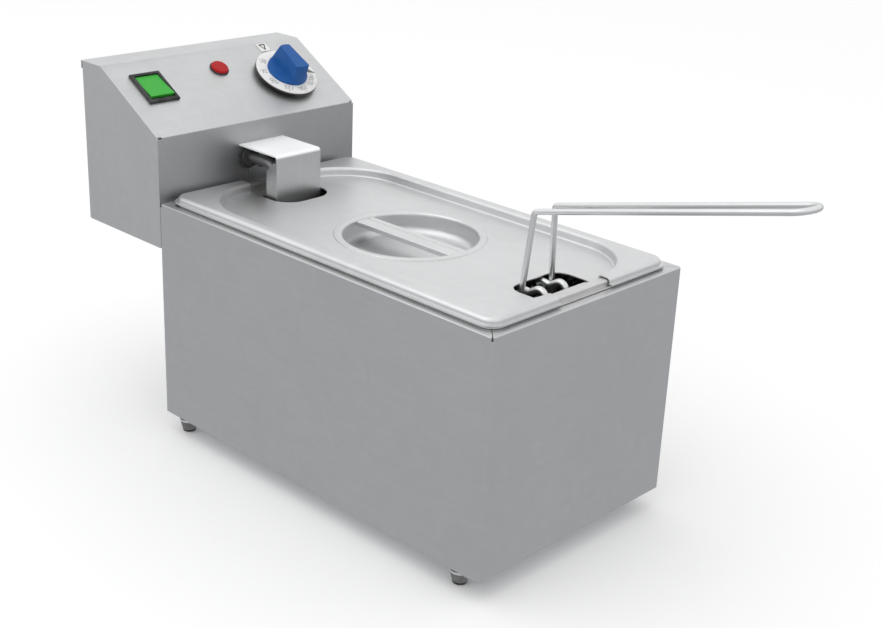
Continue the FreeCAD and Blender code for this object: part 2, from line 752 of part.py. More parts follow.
def lid_grip_bar():
    """Bar with both long edges hemmed down and one crease, welded across the well."""
    top = lid_panel_z - grip_bar_drop
    low = top - grip_bar_thickness
    half = grip_bar_width / 2
    reach = well_radius + grip_bar_drop
    bar = box(-half, half, body_mid_y - reach, body_mid_y + reach, low, top)
    long_edges = [e for e in flat_edges(bar, top) if abs(e.tangentAt(e.FirstParameter).y) > 0.9]
    bar = bar.makeFillet(0.5, long_edges)
    for side in (-1, 1):
        edge = side * half
        inner = side * (half - grip_bar_thickness)
        hem = box(min(edge, inner), max(edge, inner), body_mid_y - reach, body_mid_y + reach,
                  top - grip_bar_hem, low + 0.5)
        bar = join([bar, hem])
    crease = box(grip_groove_x - grip_groove, grip_groove_x + grip_groove,
                 body_mid_y - reach - 1, body_mid_y + reach + 1, top - grip_groove, top + 1)
    bar = bar.cut(crease)
    mouth = rod(V(0, body_mid_y, top - well_depth), V(0, 0, 1), well_radius, 2 * well_depth)
    return bar.common(mouth)


# ---- control head -------------------------------------------------------------------------


def head_outline(offset):
    """Side outline of the head as (y, z) points, moved inwards by the offset."""
    lean = math.radians(panel_angle)
    foot_z = panel_foot_z - offset * math.tan((math.pi / 2 - lean) / 2)
    top_y = head_y + panel_run + offset * math.tan(lean / 2)
    return [(head_y + offset, head_base_z), (head_y + offset, foot_z),
            (top_y, head_top_z - offset), (head_rear_y, head_top_z - offset),
            (head_rear_y, head_base_z)]


def head_shell():
    skin = plate_x(head_outline(0), -half_width, half_width)
    inner = plate_x(head_outline(sheet), -half_width + sheet, half_width - sheet)
    inner = inner.fuse(inner.translated(V(0, 5, 0))).fuse(inner.translated(V(0, 0, -5)))
    shell = skin.cut(inner)
    lip = box(-half_width, half_width, head_rear_y, head_rear_y + head_lip_reach,
              head_top_z - sheet, head_top_z)
    fold = box(-half_width, half_width, head_rear_y + head_lip_reach - sheet,
               head_rear_y + head_lip_reach, head_top_z - head_lip_drop, head_top_z)
    shell = join([shell, lip, fold])
    for side in (-1, 1):
        outer = side * (half_width - sheet)
        tip = side * (half_width - sheet - head_flange)
        flange = box(min(outer, tip), max(outer, tip), head_rear_y - sheet, head_rear_y,
                     head_base_z + 3 * sheet, head_top_z - sheet)
        shell = join([shell, flange])
        for z in cover_screw_z:
            hole = rod(V(side * cover_screw_x, head_rear_y - 5, z), V(0, 1, 0), screw_radius, 10)
            shell = shell.cut(hole)
    for x in gland_spots:
        shell = shell.cut(rod(V(x, head_y - 5, element_entry_z), V(0, 1, 0),
                              gland_bore_radius, 12))
    shell = shell.cut(rod(V(0, head_y - 5, capillary_hole_z), V(0, 1, 0), capillary_neck, 12))
    slot = box(-guard_width / 2 - fit_gap, guard_width / 2 + fit_gap, head_y - 5, head_y + 5,
               deck_z + guard_rise - guard_sheet - fit_gap, deck_z + guard_rise + fit_gap)
    shell = shell.cut(slot)
    keyway_top = element_entry_z - gland_radius
    keyway = box(gland_spots[0] - 0.5, gland_spots[0] + 0.5, head_y - 5, head_y + sheet + 1,
                 keyway_top - 4.5, keyway_top + 2)
    shell = shell.cut(keyway)
    cut = box(switch_x - bezel_cut_width / 2, switch_x + bezel_cut_width / 2,
              switch_slope - bezel_cut_length / 2, switch_slope + bezel_cut_length / 2, -4, 4)
    shell = shell.cut(to_panel(cut))
    shell = shell.cut(to_panel(rod(V(0, lamp_slope, -4), V(0, 0, 1), lamp_hole_radius, 8)))
    shell = shell.cut(to_panel(rod(V(dial_x, dial_slope, -4), V(0, 0, 1),
                                   shaft_hole_radius, 8)))
    for s in (-thermostat_screw_reach, thermostat_screw_reach):
        shell = shell.cut(to_panel(rod(V(dial_x, dial_slope + s, -4), V(0, 0, 1),
                                       thermostat_screw_radius, 8)))
    for side in (-1, 1):
        x = side * (half_width - corner_relief * 0.7)
        for z in (panel_foot_z, head_base_z):
            relief = rod(V(x - 3, head_y + corner_relief * 0.5, z), V(1, 0, 0), corner_relief, 6)
            shell = shell.cut(relief)
    return shell


def head_back_cover():
    low = head_base_z + skin_gap
    top = head_top_z - sheet - skin_gap
    cover = box(-half_width + skin_gap, half_width - skin_gap, cover_face_y - sheet,
                cover_face_y, low, top)
    for x in (-cover_screw_x, cover_screw_x):
        for z in cover_screw_z:
            cover = cover.cut(rod(V(x, cover_y - 5, z), V(0, 1, 0), screw_radius, 10))
    cover = cover.cut(rod(V(cord_x, cover_y - 5, cord_z), V(0, 1, 0), cord_hole_radius, 10))
    cover = cover.cut(rod(V(reset_x, cover_y - 5, reset_z), V(0, 1, 0),
                          reset_collar_radius + fit_gap, 10))
    for row in range(6):
        z = head_base_z + 62 + row * 7
        cover = cover.cut(box(-60, 10, cover_y - 5, cover_y + 5, z, z + 2.6))
    return cover


def head_cover_screws():
    screws = []
    for x in (-cover_screw_x, cover_screw_x):
        for z in cover_screw_z:
            seat = V(x, cover_face_y, z)
            screws.append(pan_screw(seat, V(0, 1, 0), screw_radius, thread_reach))
    return group(screws)


def head_bottom_plate():
    edge = sheet + skin_gap
    plate = box(-half_width + edge, half_width - edge, head_y + edge, head_rear_y - skin_gap,
                head_base_z, head_base_z + sheet)
    for side in (-1, 1):
        outer = side * (half_width - edge)
        tip = side * (half_width - edge - sheet)
        wall = box(min(outer, tip), max(outer, tip), head_y + 12, head_rear_y - 14,
                   head_base_z, head_base_z + 10)
        plate = join([plate, wall])
    slot = box(-hanger_tongue_half - slide_gap, hanger_tongue_half + slide_gap,
               rear_y + hanger_standoff - slide_gap,
               rear_y + hanger_standoff + hanger_sheet + slide_gap,
               head_base_z - 1, head_base_z + sheet + 1)
    return plate.cut(slot)


def head_guides():
    """Two channels inside the head that run down the edges of the hanger tongue."""
    guides = []
    low = head_base_z + sheet
    top = head_base_z + hanger_tongue + 2 * hanger_sheet
    back = rear_y + hanger_standoff + hanger_sheet + slide_gap
    for side in (-1, 1):
        web_in = side * (hanger_tongue_half + slide_gap)
        web_out = side * (hanger_tongue_half + slide_gap + guide_sheet)
        lip_in = side * (hanger_tongue_half - guide_lap)
        web = box(min(web_in, web_out), max(web_in, web_out), head_y + sheet, back + guide_sheet,
                  low, top)
        lip = box(min(lip_in, web_out), max(lip_in, web_out), back, back + guide_sheet, low, top)
        guides.append(join([web, lip]))
    return group(guides)


def element_glands():
    """Heat-proof bushes on the face of the head, one round each end of the element."""
    glands = []
    for x in gland_spots:
        centre = V(x, head_y, element_entry_z)
        flange = rod(centre - V(0, gland_flange_height, 0), V(0, 1, 0), gland_radius,
                     gland_flange_height)
        boss = rod(centre - V(0, gland_boss_height, 0), V(0, 1, 0), gland_boss_radius,
                   gland_boss_height)
        neck = rod(centre, V(0, 1, 0), gland_bore_radius - fit_gap, 9)
        gland = join([flange, boss, neck])
        gland = gland.cut(rod(centre - V(0, 10, 0), V(0, 1, 0), element_radius, 30))
        glands.append(gland)
    return group(glands)


def element_gland_nuts():
    nuts = []
    for x in gland_spots:
        nuts.append(hex_nut(V(x, head_y + sheet, element_entry_z), V(0, 1, 0), 18, 4,
                            gland_bore_radius - fit_gap))
    return group(nuts)


def heating_element():
    """One tube bent into a double hairpin; both ends rise behind the guard into the head."""
    end_x = element_spacing / 2
    front = front_y + element_front_inset
    inner_rear = element_drop_y - 22
    half = [V(end_x, head_y + 24, element_entry_z),
            V(end_x, element_drop_y, element_entry_z),
            V(end_x, element_drop_y, element_z),
            V(element_outer, element_drop_y, element_z),
            V(element_outer, front, element_z),
            V(element_inner, front, element_z),
            V(element_inner, inner_rear, element_z)]
    mirrored = [V(-p.x, p.y, p.z) for p in reversed(half)]
    return tube(half + mirrored, element_radius, element_bend)


def element_terminals():
    pins = []
    for x in gland_spots:
        start = V(x, head_y + 24, element_entry_z)
        pin = rod(start, V(0, 1, 0), 2.0, 9)
        tab = box(x - 3.2, x + 3.2, start.y + 7, start.y + 15,
                  element_entry_z - 0.4, element_entry_z + 0.4)
        pins.append(join([pin, tab]))
    return group(pins)


def element_guard():
    """Channel that shields the rising ends of the element and ties them to the head."""
    half = guard_width / 2
    top = deck_z + guard_rise
    low = element_z + element_radius + guard_foot_rise
    front = box(-half, half, guard_y, guard_y + guard_sheet, low, top)
    roof = box(-half, half, guard_y, head_y + sheet + guard_sheet, top - guard_sheet, top)
    guard = join([front, roof])
    bend = [e for e in guard.Edges
            if abs(e.BoundBox.YMin - guard_y) < 1e-4 and abs(e.BoundBox.YMax - guard_y) < 1e-4
            and abs(e.BoundBox.ZMin - top) < 1e-4 and e.BoundBox.ZMax - top < 1e-4]
    guard = guard.makeFillet(3.0, bend)
    tab = box(-half, half, head_y + sheet, head_y + sheet + guard_sheet,
              top - guard_sheet, top + guard_tab_height)
    guard = join([guard, tab])
    shoulder = top - 6
    for side in (-1, 1):
        face = side * half
        inner = side * (half - guard_sheet)
        outline = [(guard_y, low), (guard_y, shoulder), (guard_y + 4, shoulder),
                   (guard_y + guard_flange, shoulder - 8), (guard_y + guard_flange, low)]
        flange = plate_x(outline, min(face, inner), max(face, inner))
        guard = join([guard, flange])
    for x in (-guard_stud_x, guard_stud_x):
        guard = guard.cut(rod(V(x, head_y, guard_stud_z), V(0, 1, 0), guard_stud_radius, 9))
    return guard


def guard_studs():
    """Two studs welded inside the face of the head, with the nuts that hold the guard."""
    studs = []
    wall = head_y + sheet
    for x in (-guard_stud_x, guard_stud_x):
        stud = rod(V(x, wall, guard_stud_z), V(0, 1, 0), guard_stud_radius, 7)
        nut = hex_nut(V(x, wall + guard_sheet, guard_stud_z), V(0, 1, 0), 5.5, 2.4,
                      guard_stud_radius)
        studs.append(join([stud, nut]))
    return group(studs)


def basket_rest_bars():
    """Flat bars clipped over the runs of the element; the basket floor stands on them."""
    bars = []
    reach = element_outer + element_radius + 3
    for y in rest_bar_y:
        bar = box(-reach, reach, y - rest_bar_half, y + rest_bar_half,
                  rest_bar_z, rest_bar_z + rest_bar_thickness)
        parts = [bar]
        for x in (-element_outer, -element_inner, element_inner, element_outer):
            for side in (-1, 1):
                face = x + side * (element_radius + skin_gap)
                outer = face + side * rest_bar_leg
                parts.append(box(min(face, outer), max(face, outer), y - rest_bar_half,
                                 y + rest_bar_half, element_z - element_radius / 2,
                                 rest_bar_z + rest_bar_thickness / 2))
        bars.append(join(parts))
    return group(bars)


def sensor(side, inner_points):
    """Bulb between the inner runs; its line passes under the element and rises to the head."""
    x = side * bulb_x
    near_x = side * capillary_half_gap
    bulb = rod(V(x, bulb_front_y, element_z), V(0, 1, 0), bulb_radius, bulb_length)
    bulb = bulb.makeFillet(1.4, [e for e in bulb.Edges if e.Closed])
    rear = bulb_front_y + bulb_length
    points = [V(x, rear - 2, element_z), V(x, rear + 8, element_z), V(x, rear + 16, capillary_z),
              V(near_x, element_drop_y, capillary_z),
              V(near_x, element_drop_y, capillary_hole_z)]
    return join([bulb, tube(points + inner_points, capillary_radius, capillary_bend)])


def control_sensor():
    """Sensor of the control thermostat; its line ends square to the underside of the case."""
    seat = V(dial_x, dial_slope, -thermostat_depth)
    inner = [V(-capillary_half_gap, head_y + 34, capillary_hole_z),
             V(dial_x - 12, head_y + 60, capillary_hole_z)]
    for drop in (12, 0):
        end = Part.Vertex(seat - V(0, 0, drop))
        inner.append(to_panel(end).Point)
    return sensor(-1, inner)


def safety_sensor():
    """Sensor of the cut-out; its line ends at the front of the case."""
    inner = [V(capillary_half_gap, head_y + 20, capillary_hole_z),
             V(reset_x - 8, cutout_front_y - 16, capillary_hole_z),
             V(reset_x - 8, cutout_front_y, capillary_hole_z)]
    return sensor(1, inner)


def bulb_clips():
    """Saddles that lie across the inner runs of the element and carry both bulbs."""
    clips = []
    plate_z = element_z + element_radius
    for y in (bulb_front_y + clip_inset, bulb_front_y + bulb_length - clip_inset):
        plate = box(-element_inner - element_radius, element_inner + element_radius,
                    y - clip_half, y + clip_half, plate_z, plate_z + clip_sheet)
        strap = box(-bulb_x - bulb_radius - clip_sheet, bulb_x + bulb_radius + clip_sheet,
                    y - clip_half, y + clip_half, element_z - bulb_radius - clip_sheet, plate_z)
        clip = join([plate, strap])
        for x in (-bulb_x, bulb_x):
            clip = clip.cut(rod(V(x, y - 2 * clip_half, element_z), V(0, 1, 0), bulb_radius,
                                4 * clip_half))
        clips.append(clip)
    return group(clips)


def capillary_gland():
    centre = V(0, head_y, capillary_hole_z)
    flange = rod(centre - V(0, 1, 0), V(0, 1, 0), capillary_neck + 0.6, 1)
    neck = rod(centre, V(0, 1, 0), capillary_neck - fit_gap, 3 * sheet)
    lip = rod(centre + V(0, sheet, 0), V(0, 1, 0), capillary_neck + 0.8, 1.4)
    gland = join([flange, neck, lip])
    for x in (-capillary_half_gap, capillary_half_gap):
        gland = gland.cut(rod(centre + V(x, -5, 0), V(0, 1, 0), capillary_radius, 12))
    return gland


# ---- controls -----------------------------------------------------------------------------
def switch_housing():
    """Double-pole switch: a bezel on the panel and a body that snaps through it."""
    bezel = box(switch_x - switch_width / 2, switch_x + switch_width / 2,
                switch_slope - switch_length / 2, switch_slope + switch_length / 2,
                0, bezel_height)
    bezel = bezel.makeFillet(0.8, flat_edges(bezel, bezel_height))
    case = box(switch_x - bezel_cut_width / 2 + fit_gap, switch_x + bezel_cut_width / 2 - fit_gap,
               switch_slope - bezel_cut_length / 2 + fit_gap,
               switch_slope + bezel_cut_length / 2 - fit_gap, -22, 0.5)
    housing = join([bezel, case])
    mouth = box(switch_x - rocker_width / 2 - 0.35, switch_x + rocker_width / 2 + 0.35,
                switch_slope - rocker_length / 2 - rocker_end_gap,
                switch_slope + rocker_length / 2 + rocker_end_gap,
                -9, 5)
    housing = housing.cut(mouth)
    for x in (-6.5, 6.5):
        for s in (-8, 8):
            tab = box(switch_x + x - 3.2, switch_x + x + 3.2, switch_slope + s - 0.4,
                      switch_slope + s + 0.4, -30, -21)
            housing = join([housing, tab])
    pin = rod(V(switch_x - rocker_width / 2 - 0.5, switch_slope, rocker_pivot), V(1, 0, 0),
              rocker_pin_radius, rocker_width + 1)
    return to_panel(join([housing, pin]))


def rocker():
    """Rocker cap with two gently dished faces, resting with its upper end pressed."""
    half = rocker_length / 2
    crown = rocker_crown
    outline = [V(0, -half, crown), V(0, 0, crown - rocker_dish), V(0, half, crown),
               V(0, half - 1.2, -3.0), V(0, 3.5, rocker_pivot - 3.4),
               V(0, -3.5, rocker_pivot - 3.4), V(0, -half + 1.2, -3.0)]
    cap = polygon(outline).extrude(V(rocker_width, 0, 0))
    cap.translate(V(switch_x - rocker_width / 2, switch_slope, 0))
    bore = rod(V(switch_x - rocker_width, switch_slope, rocker_pivot), V(1, 0, 0),
               rocker_pin_radius + fit_gap, rocker_width * 2)
    cap = cap.cut(bore)
    cap.rotate(V(switch_x, switch_slope, rocker_pivot), V(1, 0, 0), -rocker_throw / 2)
    return to_panel(cap)


def lamp_bezel():
    ring = rod(V(0, lamp_slope, 0), V(0, 0, 1), lamp_radius, lamp_ring_height)
    ring = ring.makeFillet(0.5, flat_edges(ring, lamp_ring_height))
    body = rod(V(0, lamp_slope, -18), V(0, 0, 1), lamp_hole_radius - fit_gap, 18.5)
    lamp = join([ring, body])
    lamp = lamp.cut(rod(V(0, lamp_slope, -6), V(0, 0, 1), lamp_hole_radius - 1.2, 12))
    for x in (-2.6, 2.6):
        lamp = join([lamp, box(x - 0.4, x + 0.4, lamp_slope - 2.2, lamp_slope + 2.2, -26, -17)])
    return to_panel(lamp)


def lamp_lens():
    radius = lamp_radius - 0.7
    thickness = lamp_lens_height - lamp_ring_height
    cap = rod(V(0, lamp_slope, lamp_ring_height), V(0, 0, 1), radius, thickness)
    cap = cap.makeFillet(thickness * 0.8, flat_edges(cap, lamp_lens_height))
    stem = rod(V(0, lamp_slope, -5), V(0, 0, 1), lamp_hole_radius - 1.4, 5 + lamp_ring_height)
    return to_panel(join([cap, stem]))


def index_plate():
    """Small white plate with the fixed mark that the dial is read against."""
    plate = box(index_x - index_width / 2, index_x + index_width / 2,
                index_slope - index_length / 2, index_slope + index_length / 2,
                0, index_sheet)
    return to_panel(plate)


def thermostat_body():
    """Control thermostat behind the panel, with its fixing bridge."""
    case = box(dial_x - 17, dial_x + 17, dial_slope - 20, dial_slope + 20,
               -thermostat_depth, -10)
    case = case.makeFillet(2.0, [e for e in case.Edges if abs(e.tangentAt(e.FirstParameter).z) > 0.9])
    bridge = box(dial_x - 8, dial_x + 8, dial_slope - 24, dial_slope + 24,
                 -sheet - bridge_thickness, -sheet)
    post = box(dial_x - 8, dial_x + 8, dial_slope - 14, dial_slope + 14, -10.5, -sheet - 0.5)
    body = join([case, bridge, post])
    for s in (-thermostat_screw_reach, thermostat_screw_reach):
        body = body.cut(rod(V(dial_x, dial_slope + s, -3 * sheet), V(0, 0, 1),
                            thermostat_screw_radius, 4 * sheet))
    body = body.cut(rod(V(dial_x, dial_slope, -14), V(0, 0, 1), shaft_radius + fit_gap, 20))
    return to_panel(body)


def thermostat_screws():
    screws = []
    for s in (-thermostat_screw_reach, thermostat_screw_reach):
        screw = pan_screw(V(dial_x, dial_slope + s, 0), V(0, 0, 1), thermostat_screw_radius,
                          sheet + bridge_thickness)
        screws.append(to_panel(screw))
    return group(screws)


def thermostat_shaft():
    low = -13.0
    shaft = rod(V(dial_x, dial_slope, low), V(0, 0, 1), shaft_radius,
                knob_height - knob_bite - low)
    flat = box(dial_x - 5, dial_x + 5, dial_slope + shaft_radius - 1, dial_slope + 5,
               4, knob_height)
    return to_panel(shaft.cut(flat))


def dial_skirt():
    """Black ring under the dial, with a smaller hub that stays clear of the panel."""
    top = dial_face - dial_sheet
    ring = rod(V(dial_x, dial_slope, top - skirt_height), V(0, 0, 1), dial_radius + 0.2,
               skirt_height)
    hub = rod(V(dial_x, dial_slope, 1.0), V(0, 0, 1), skirt_hub_radius, top - 1.0)
    skirt = join([ring, hub])
    return to_panel(skirt.cut(rod(V(dial_x, dial_slope, 0), V(0, 0, 1), shaft_radius, 12)))


def dial_disc():
    disc = rod(V(dial_x, dial_slope, dial_face - dial_sheet), V(0, 0, 1), dial_radius,
               dial_sheet)
    disc = disc.makeFillet(0.5, flat_edges(disc, dial_face))
    disc = disc.cut(rod(V(dial_x, dial_slope, -1), V(0, 0, 1), shaft_radius, 12))
    return to_panel(disc)


def knob():
    """Round base with a tapered grip across it, pressed onto the shaft."""
    base = Part.makeCone(knob_radius, knob_radius - 0.8, knob_base_height, V(0, 0, 0))
    base = base.makeFillet(0.8, flat_edges(base, knob_base_height))
    seat = knob_base_height - 1.0
    top = knob_height - dial_face
    low_half = knob_grip_width / 2 + 3.4
    high_half = knob_grip_width / 2
    long_low = knob_radius - 1.0
    long_high = knob_grip_length / 2
    low = Part.makePolygon([V(-low_half, -long_low, seat), V(low_half, -long_low, seat),
                            V(low_half, long_low, seat), V(-low_half, long_low, seat),
                            V(-low_half, -long_low, seat)])
    high = Part.makePolygon([V(-high_half, -long_high, top), V(high_half, -long_high, top),
                             V(high_half, long_high, top), V(-high_half, long_high, top),
                             V(-high_half, -long_high, top)])
    grip = Part.makeLoft([low, high], True, True)
    trim = Part.makeCylinder(knob_radius - 0.6, top + 4)
    grip = grip.common(trim)
    grip = grip.makeFillet(0.9, flat_edges(grip, top))
    body = join([base, grip])
    bore = Part.makeCylinder(shaft_radius, knob_height - knob_bite - dial_face)
    flat = box(-5, 5, shaft_radius - 1, 5, -1, knob_height)
    body = body.cut(bore.cut(flat))
    body.translate(V(dial_x, dial_slope, dial_face))
    return to_panel(body)


def safety_thermostat():
    """High-limit cut-out inside the back cover, with a threaded collar for its button."""
    case = box(reset_x - 16, reset_x + 16, cutout_front_y, cutout_rear_y,
               reset_z - 14, reset_z + 14)
    collar = rod(V(reset_x, cutout_rear_y, reset_z), V(0, 1, 0), reset_collar_radius,
                 reset_face_y - cutout_rear_y)
    body = join([case, collar])
    bore = rod(V(reset_x, cutout_rear_y - reset_depth, reset_z), V(0, 1, 0),
               reset_radius + fit_gap, 2 * reset_depth)
    return body.cut(bore)


def reset_nut():
    return hex_nut(V(reset_x, cover_face_y, reset_z), V(0, 1, 0), 15, 2.5,
                   reset_collar_radius)


def reset_button():
    tip = reset_face_y + reset_reach
    low = cutout_rear_y - reset_depth + reset_stroke + seat_gap
    button = rod(V(reset_x, low, reset_z), V(0, 1, 0), reset_radius, tip - low)
    tip_edge = [e for e in button.Edges if e.Closed and abs(e.BoundBox.YMin - tip) < 1e-3]
    return button.makeFillet(0.8, tip_edge)


def terminal_block():
    """Four-way block screwed to the bottom plate of the head."""
    foot = box(terminal_x - 26, terminal_x + 26, head_y + 38, head_y + 62,
               terminal_z, terminal_z + 14)
    parts = [foot]
    for x in terminal_spots:
        parts.append(box(x - 5, x + 5, head_y + 42, head_y + 58, terminal_z + 13, terminal_z + 20))
    block = join(parts)
    for x in terminal_spots:
        block = block.cut(rod(V(x, head_y + 50, terminal_z + 8), V(0, 0, 1), 2.2, 20))
    return block


def terminal_screws():
    screws = []
    for x in terminal_spots:
        screws.append(rod(V(x, head_y + 50, terminal_z + 9), V(0, 0, 1), 2.1, 8))
    return group(screws)


def cord_gland():
    """Strain-relief bush for the mains lead in the back cover; its bore is the only inlet."""
    face = cover_face_y
    reach = cord_gland_length + skin_gap / 2
    flange = rod(V(cord_x, face, cord_z), V(0, 1, 0), cord_gland_radius, 3)
    nose = Part.makeCone(cord_gland_radius - 1.5, cord_gland_radius - 3, reach,
                         V(cord_x, face, cord_z), V(0, 1, 0))
    neck = rod(V(cord_x, face - 9, cord_z), V(0, 1, 0), cord_hole_radius - fit_gap, 9.5)
    gland = join([flange, nose, neck])
    return gland.cut(rod(V(cord_x, face - 20, cord_z), V(0, 1, 0), cord_bore, 60))


def cord_gland_nut():
    return hex_nut(V(cord_x, cover_y - 4 + skin_gap / 2, cord_z), V(0, 1, 0), 19, 4,
                   cord_hole_radius - fit_gap)


# ---- basket -------------------------------------------------------------------------------
def basket_rim():
    corners = [V(-basket_half, basket_front_y, basket_rim_z),
               V(basket_half, basket_front_y, basket_rim_z),
               V(basket_half, basket_rear_y, basket_rim_z),
               V(-basket_half, basket_rear_y, basket_rim_z)]
    return tube(corners, basket_wire, basket_corner, closed=True)


def basket_ribs():
    """U-shaped wires under and round the mesh, two ways."""
    ribs = []
    low = basket_floor_z - rib_wire
    side = mesh_edge + rib_wire
    top = basket_rim_z
    for y in rib_y:
        points = [V(-side, y, top), V(-side, y, low), V(side, y, low), V(side, y, top)]
        ribs.append(tube(points, rib_wire, rib_bend))
    front = mesh_front - rib_wire
    rear = mesh_rear + rib_wire
    for x in rib_x:
        points = [V(x, front, top), V(x, front, low), V(x, rear, low), V(x, rear, top)]
        ribs.append(tube(points, rib_wire, rib_bend))
    return join(ribs).cut(basket_rim())


def grid_sheet(width, height):
    """A flat sheet with square openings, drawn in the XY plane from the origin."""
    outer = Part.makePolygon([V(0, 0, 0), V(width, 0, 0), V(width, height, 0), V(0, height, 0),
                              V(0, 0, 0)])
    columns = int((width - mesh_bar) // mesh_pitch)
    rows = int((height - mesh_bar) // mesh_pitch)
    gap = mesh_pitch - mesh_bar
    start_x = (width - columns * mesh_pitch + mesh_bar) / 2
    start_y = (height - rows * mesh_pitch + mesh_bar) / 2
    wires = [outer]
    for i in range(columns):
        for j in range(rows):
            x = start_x + i * mesh_pitch
            y = start_y + j * mesh_pitch
            wires.append(Part.makePolygon([V(x, y, 0), V(x, y + gap, 0), V(x + gap, y + gap, 0),
                                           V(x + gap, y, 0), V(x, y, 0)]))
    face = Part.Face(wires, "Part::FaceMakerBullseye")
    return face.extrude(V(0, 0, mesh_sheet))


def basket_floor():
    sheet_shape = grid_sheet(2 * mesh_edge, mesh_rear - mesh_front)
    sheet_shape.translate(V(-mesh_edge, mesh_front, basket_floor_z))
    return sheet_shape


def basket_side(side):
    height = mesh_top - basket_floor_z - mesh_sheet
    wall = grid_sheet(mesh_rear - mesh_front, height)
    wall.rotate(V(0, 0, 0), V(1, 0, 0), 90)
    wall.rotate(V(0, 0, 0), V(0, 0, 1), 90)
    x = mesh_edge - mesh_sheet if side > 0 else -mesh_edge
    wall.translate(V(x, mesh_front, basket_floor_z + mesh_sheet))
    return wall


def basket_end(y):
    height = mesh_top - basket_floor_z - mesh_sheet
    wall = grid_sheet(2 * (mesh_edge - mesh_sheet), height)
    wall.rotate(V(0, 0, 0), V(1, 0, 0), 90)
    wall.translate(V(-mesh_edge + mesh_sheet, y + mesh_sheet, basket_floor_z + mesh_sheet))
    return wall


def basket_hooks():
    """Two bent wires at the front of the basket; hooked over the tank they let it drain."""
    hooks = []
    drop_z = basket_rim_z + basket_wire + hook_wire * 0.8
    low_z = lid_panel_z - sheet - seat_gap - hook_wire - 0.4
    for side in (-1, 1):
        x = side * hook_spacing / 2
        points = [V(x, basket_front_y - 0.5, drop_z),
                  V(x, basket_front_y - 4.0, low_z),
                  V(x, hook_end_y + hook_trough, low_z - 0.7),
                  V(x, hook_end_y, deck_z + 3.0),
                  V(x, hook_end_y, deck_z - 26)]
        hooks.append(tube(points, hook_wire, hook_bend).cut(basket_rim()))
    return group(hooks)


def handle_sockets():
    """Two short tubes on a cross plate at the front of the basket that hold the handle."""
    low = leg_end_z + socket_rise
    parts = []
    bore = handle_wire + seat_gap
    outer = bore + socket_wall
    back = mesh_front - 2 * rib_wire
    reach = max(rib_x) + rib_wire
    for side in (-1, 1):
        x = side * leg_half
        sleeve = rod(V(x, leg_y, low), V(0, 0, 1), outer, socket_height)
        tie = box(x - outer, x + outer, leg_y, back, low, low + socket_height)
        parts.append(join([sleeve, tie]))
    plate = box(-reach, reach, back - 1.2, back, low, low + socket_height)
    plate = join([plate] + parts)
    for side in (-1, 1):
        plate = plate.cut(rod(V(side * leg_half, leg_y, low - 1), V(0, 0, 1), bore,
                              socket_height + 2))
    return plate


# ---- handle -------------------------------------------------------------------------------
def basket_handle():
    """One wire: two legs that drop into the sockets, two bars and a round tip."""
    half = handle_spacing / 2
    pitch = math.radians(handle_pitch)
    bend_y = front_y + handle_bend_inset
    bend_z = deck_z + handle_bend_rise
    tip_y = front_y - handle_tip_reach
    turn_y = tip_y + half * math.cos(pitch)
    turn_z = bend_z + (bend_y - turn_y) * math.tan(pitch)
    tip_z = turn_z + half * math.sin(pitch)
    pieces = []
    for side in (-1, 1):
        points = [V(side * leg_half, leg_y, leg_end_z),
                  V(side * leg_half, leg_y, deck_z + handle_splay_end),
                  V(side * half, bend_y, bend_z),
                  V(side * half, turn_y, turn_z)]
        pieces.append(tube(points, handle_wire, handle_bend))
    arc = Part.Arc(V(-half, turn_y, turn_z), V(0, tip_y, tip_z), V(half, turn_y, turn_z)).toShape()
    start = arc.valueAt(arc.FirstParameter)
    section = Part.Wire([Part.makeCircle(handle_wire, start, arc.tangentAt(arc.FirstParameter))])
    pieces.append(Part.Wire([arc]).makePipeShell([section], True, False))
    return join(pieces)


# ---- export -------------------------------------------------------------------------------
nodes = {
    "body_shell": body_shell,
    "body_rear_panel": body_rear_panel,
    "rear_panel_screws": rear_panel_screws,
    "base_plate": base_plate,
    "base_screws": base_screws,
    "foot_collars": foot_collars,
    "foot_washers": foot_washers,
    "foot_pads": foot_pads,
    "foot_studs": foot_studs,
    "hanger_bracket": hanger_bracket,
    "hanger_screws": hanger_screws,
    "oil_tank": oil_tank,
    "lid_plate": lid_plate,
    "lid_grip_bar": lid_grip_bar,
    "head_shell": head_shell,
    "head_back_cover": head_back_cover,
    "head_cover_screws": head_cover_screws,
    "head_bottom_plate": head_bottom_plate,
    "head_guides": head_guides,
    "element_glands": element_glands,
    "element_gland_nuts": element_gland_nuts,
    "heating_element": heating_element,
    "element_terminals": element_terminals,
    "element_guard": element_guard,
    "guard_studs": guard_studs,
    "basket_rest_bars": basket_rest_bars,
    "control_sensor": control_sensor,
    "safety_sensor": safety_sensor,
    "bulb_clips": bulb_clips,
    "capillary_gland": capillary_gland,
    "switch_housing": switch_housing,
    "rocker": rocker,
    "lamp_bezel": lamp_bezel,
    "lamp_lens": lamp_lens,
    "index_plate": index_plate,
    "thermostat_body": thermostat_body,
    "thermostat_screws": thermostat_screws,
    "thermostat_shaft": thermostat_shaft,
    "dial_skirt": dial_skirt,
    "dial_disc": dial_disc,
    "knob": knob,
    "safety_thermostat": safety_thermostat,
    "reset_nut": reset_nut,
    "reset_button": reset_button,
    "terminal_block": terminal_block,
    "terminal_screws": terminal_screws,
    "cord_gland": cord_gland,
    "cord_gland_nut": cord_gland_nut,
    "basket_rim": basket_rim,
    "basket_ribs": basket_ribs,
    "basket_floor": basket_floor,
    "basket_left_side": lambda: basket_side(-1),
    "basket_right_side": lambda: basket_side(1),
    "basket_front": lambda: basket_end(mesh_front),
    "basket_rear": lambda: basket_end(mesh_rear - mesh_sheet),
    "basket_hooks": basket_hooks,
    "handle_sockets": handle_sockets,
    "basket_handle": basket_handle,
}

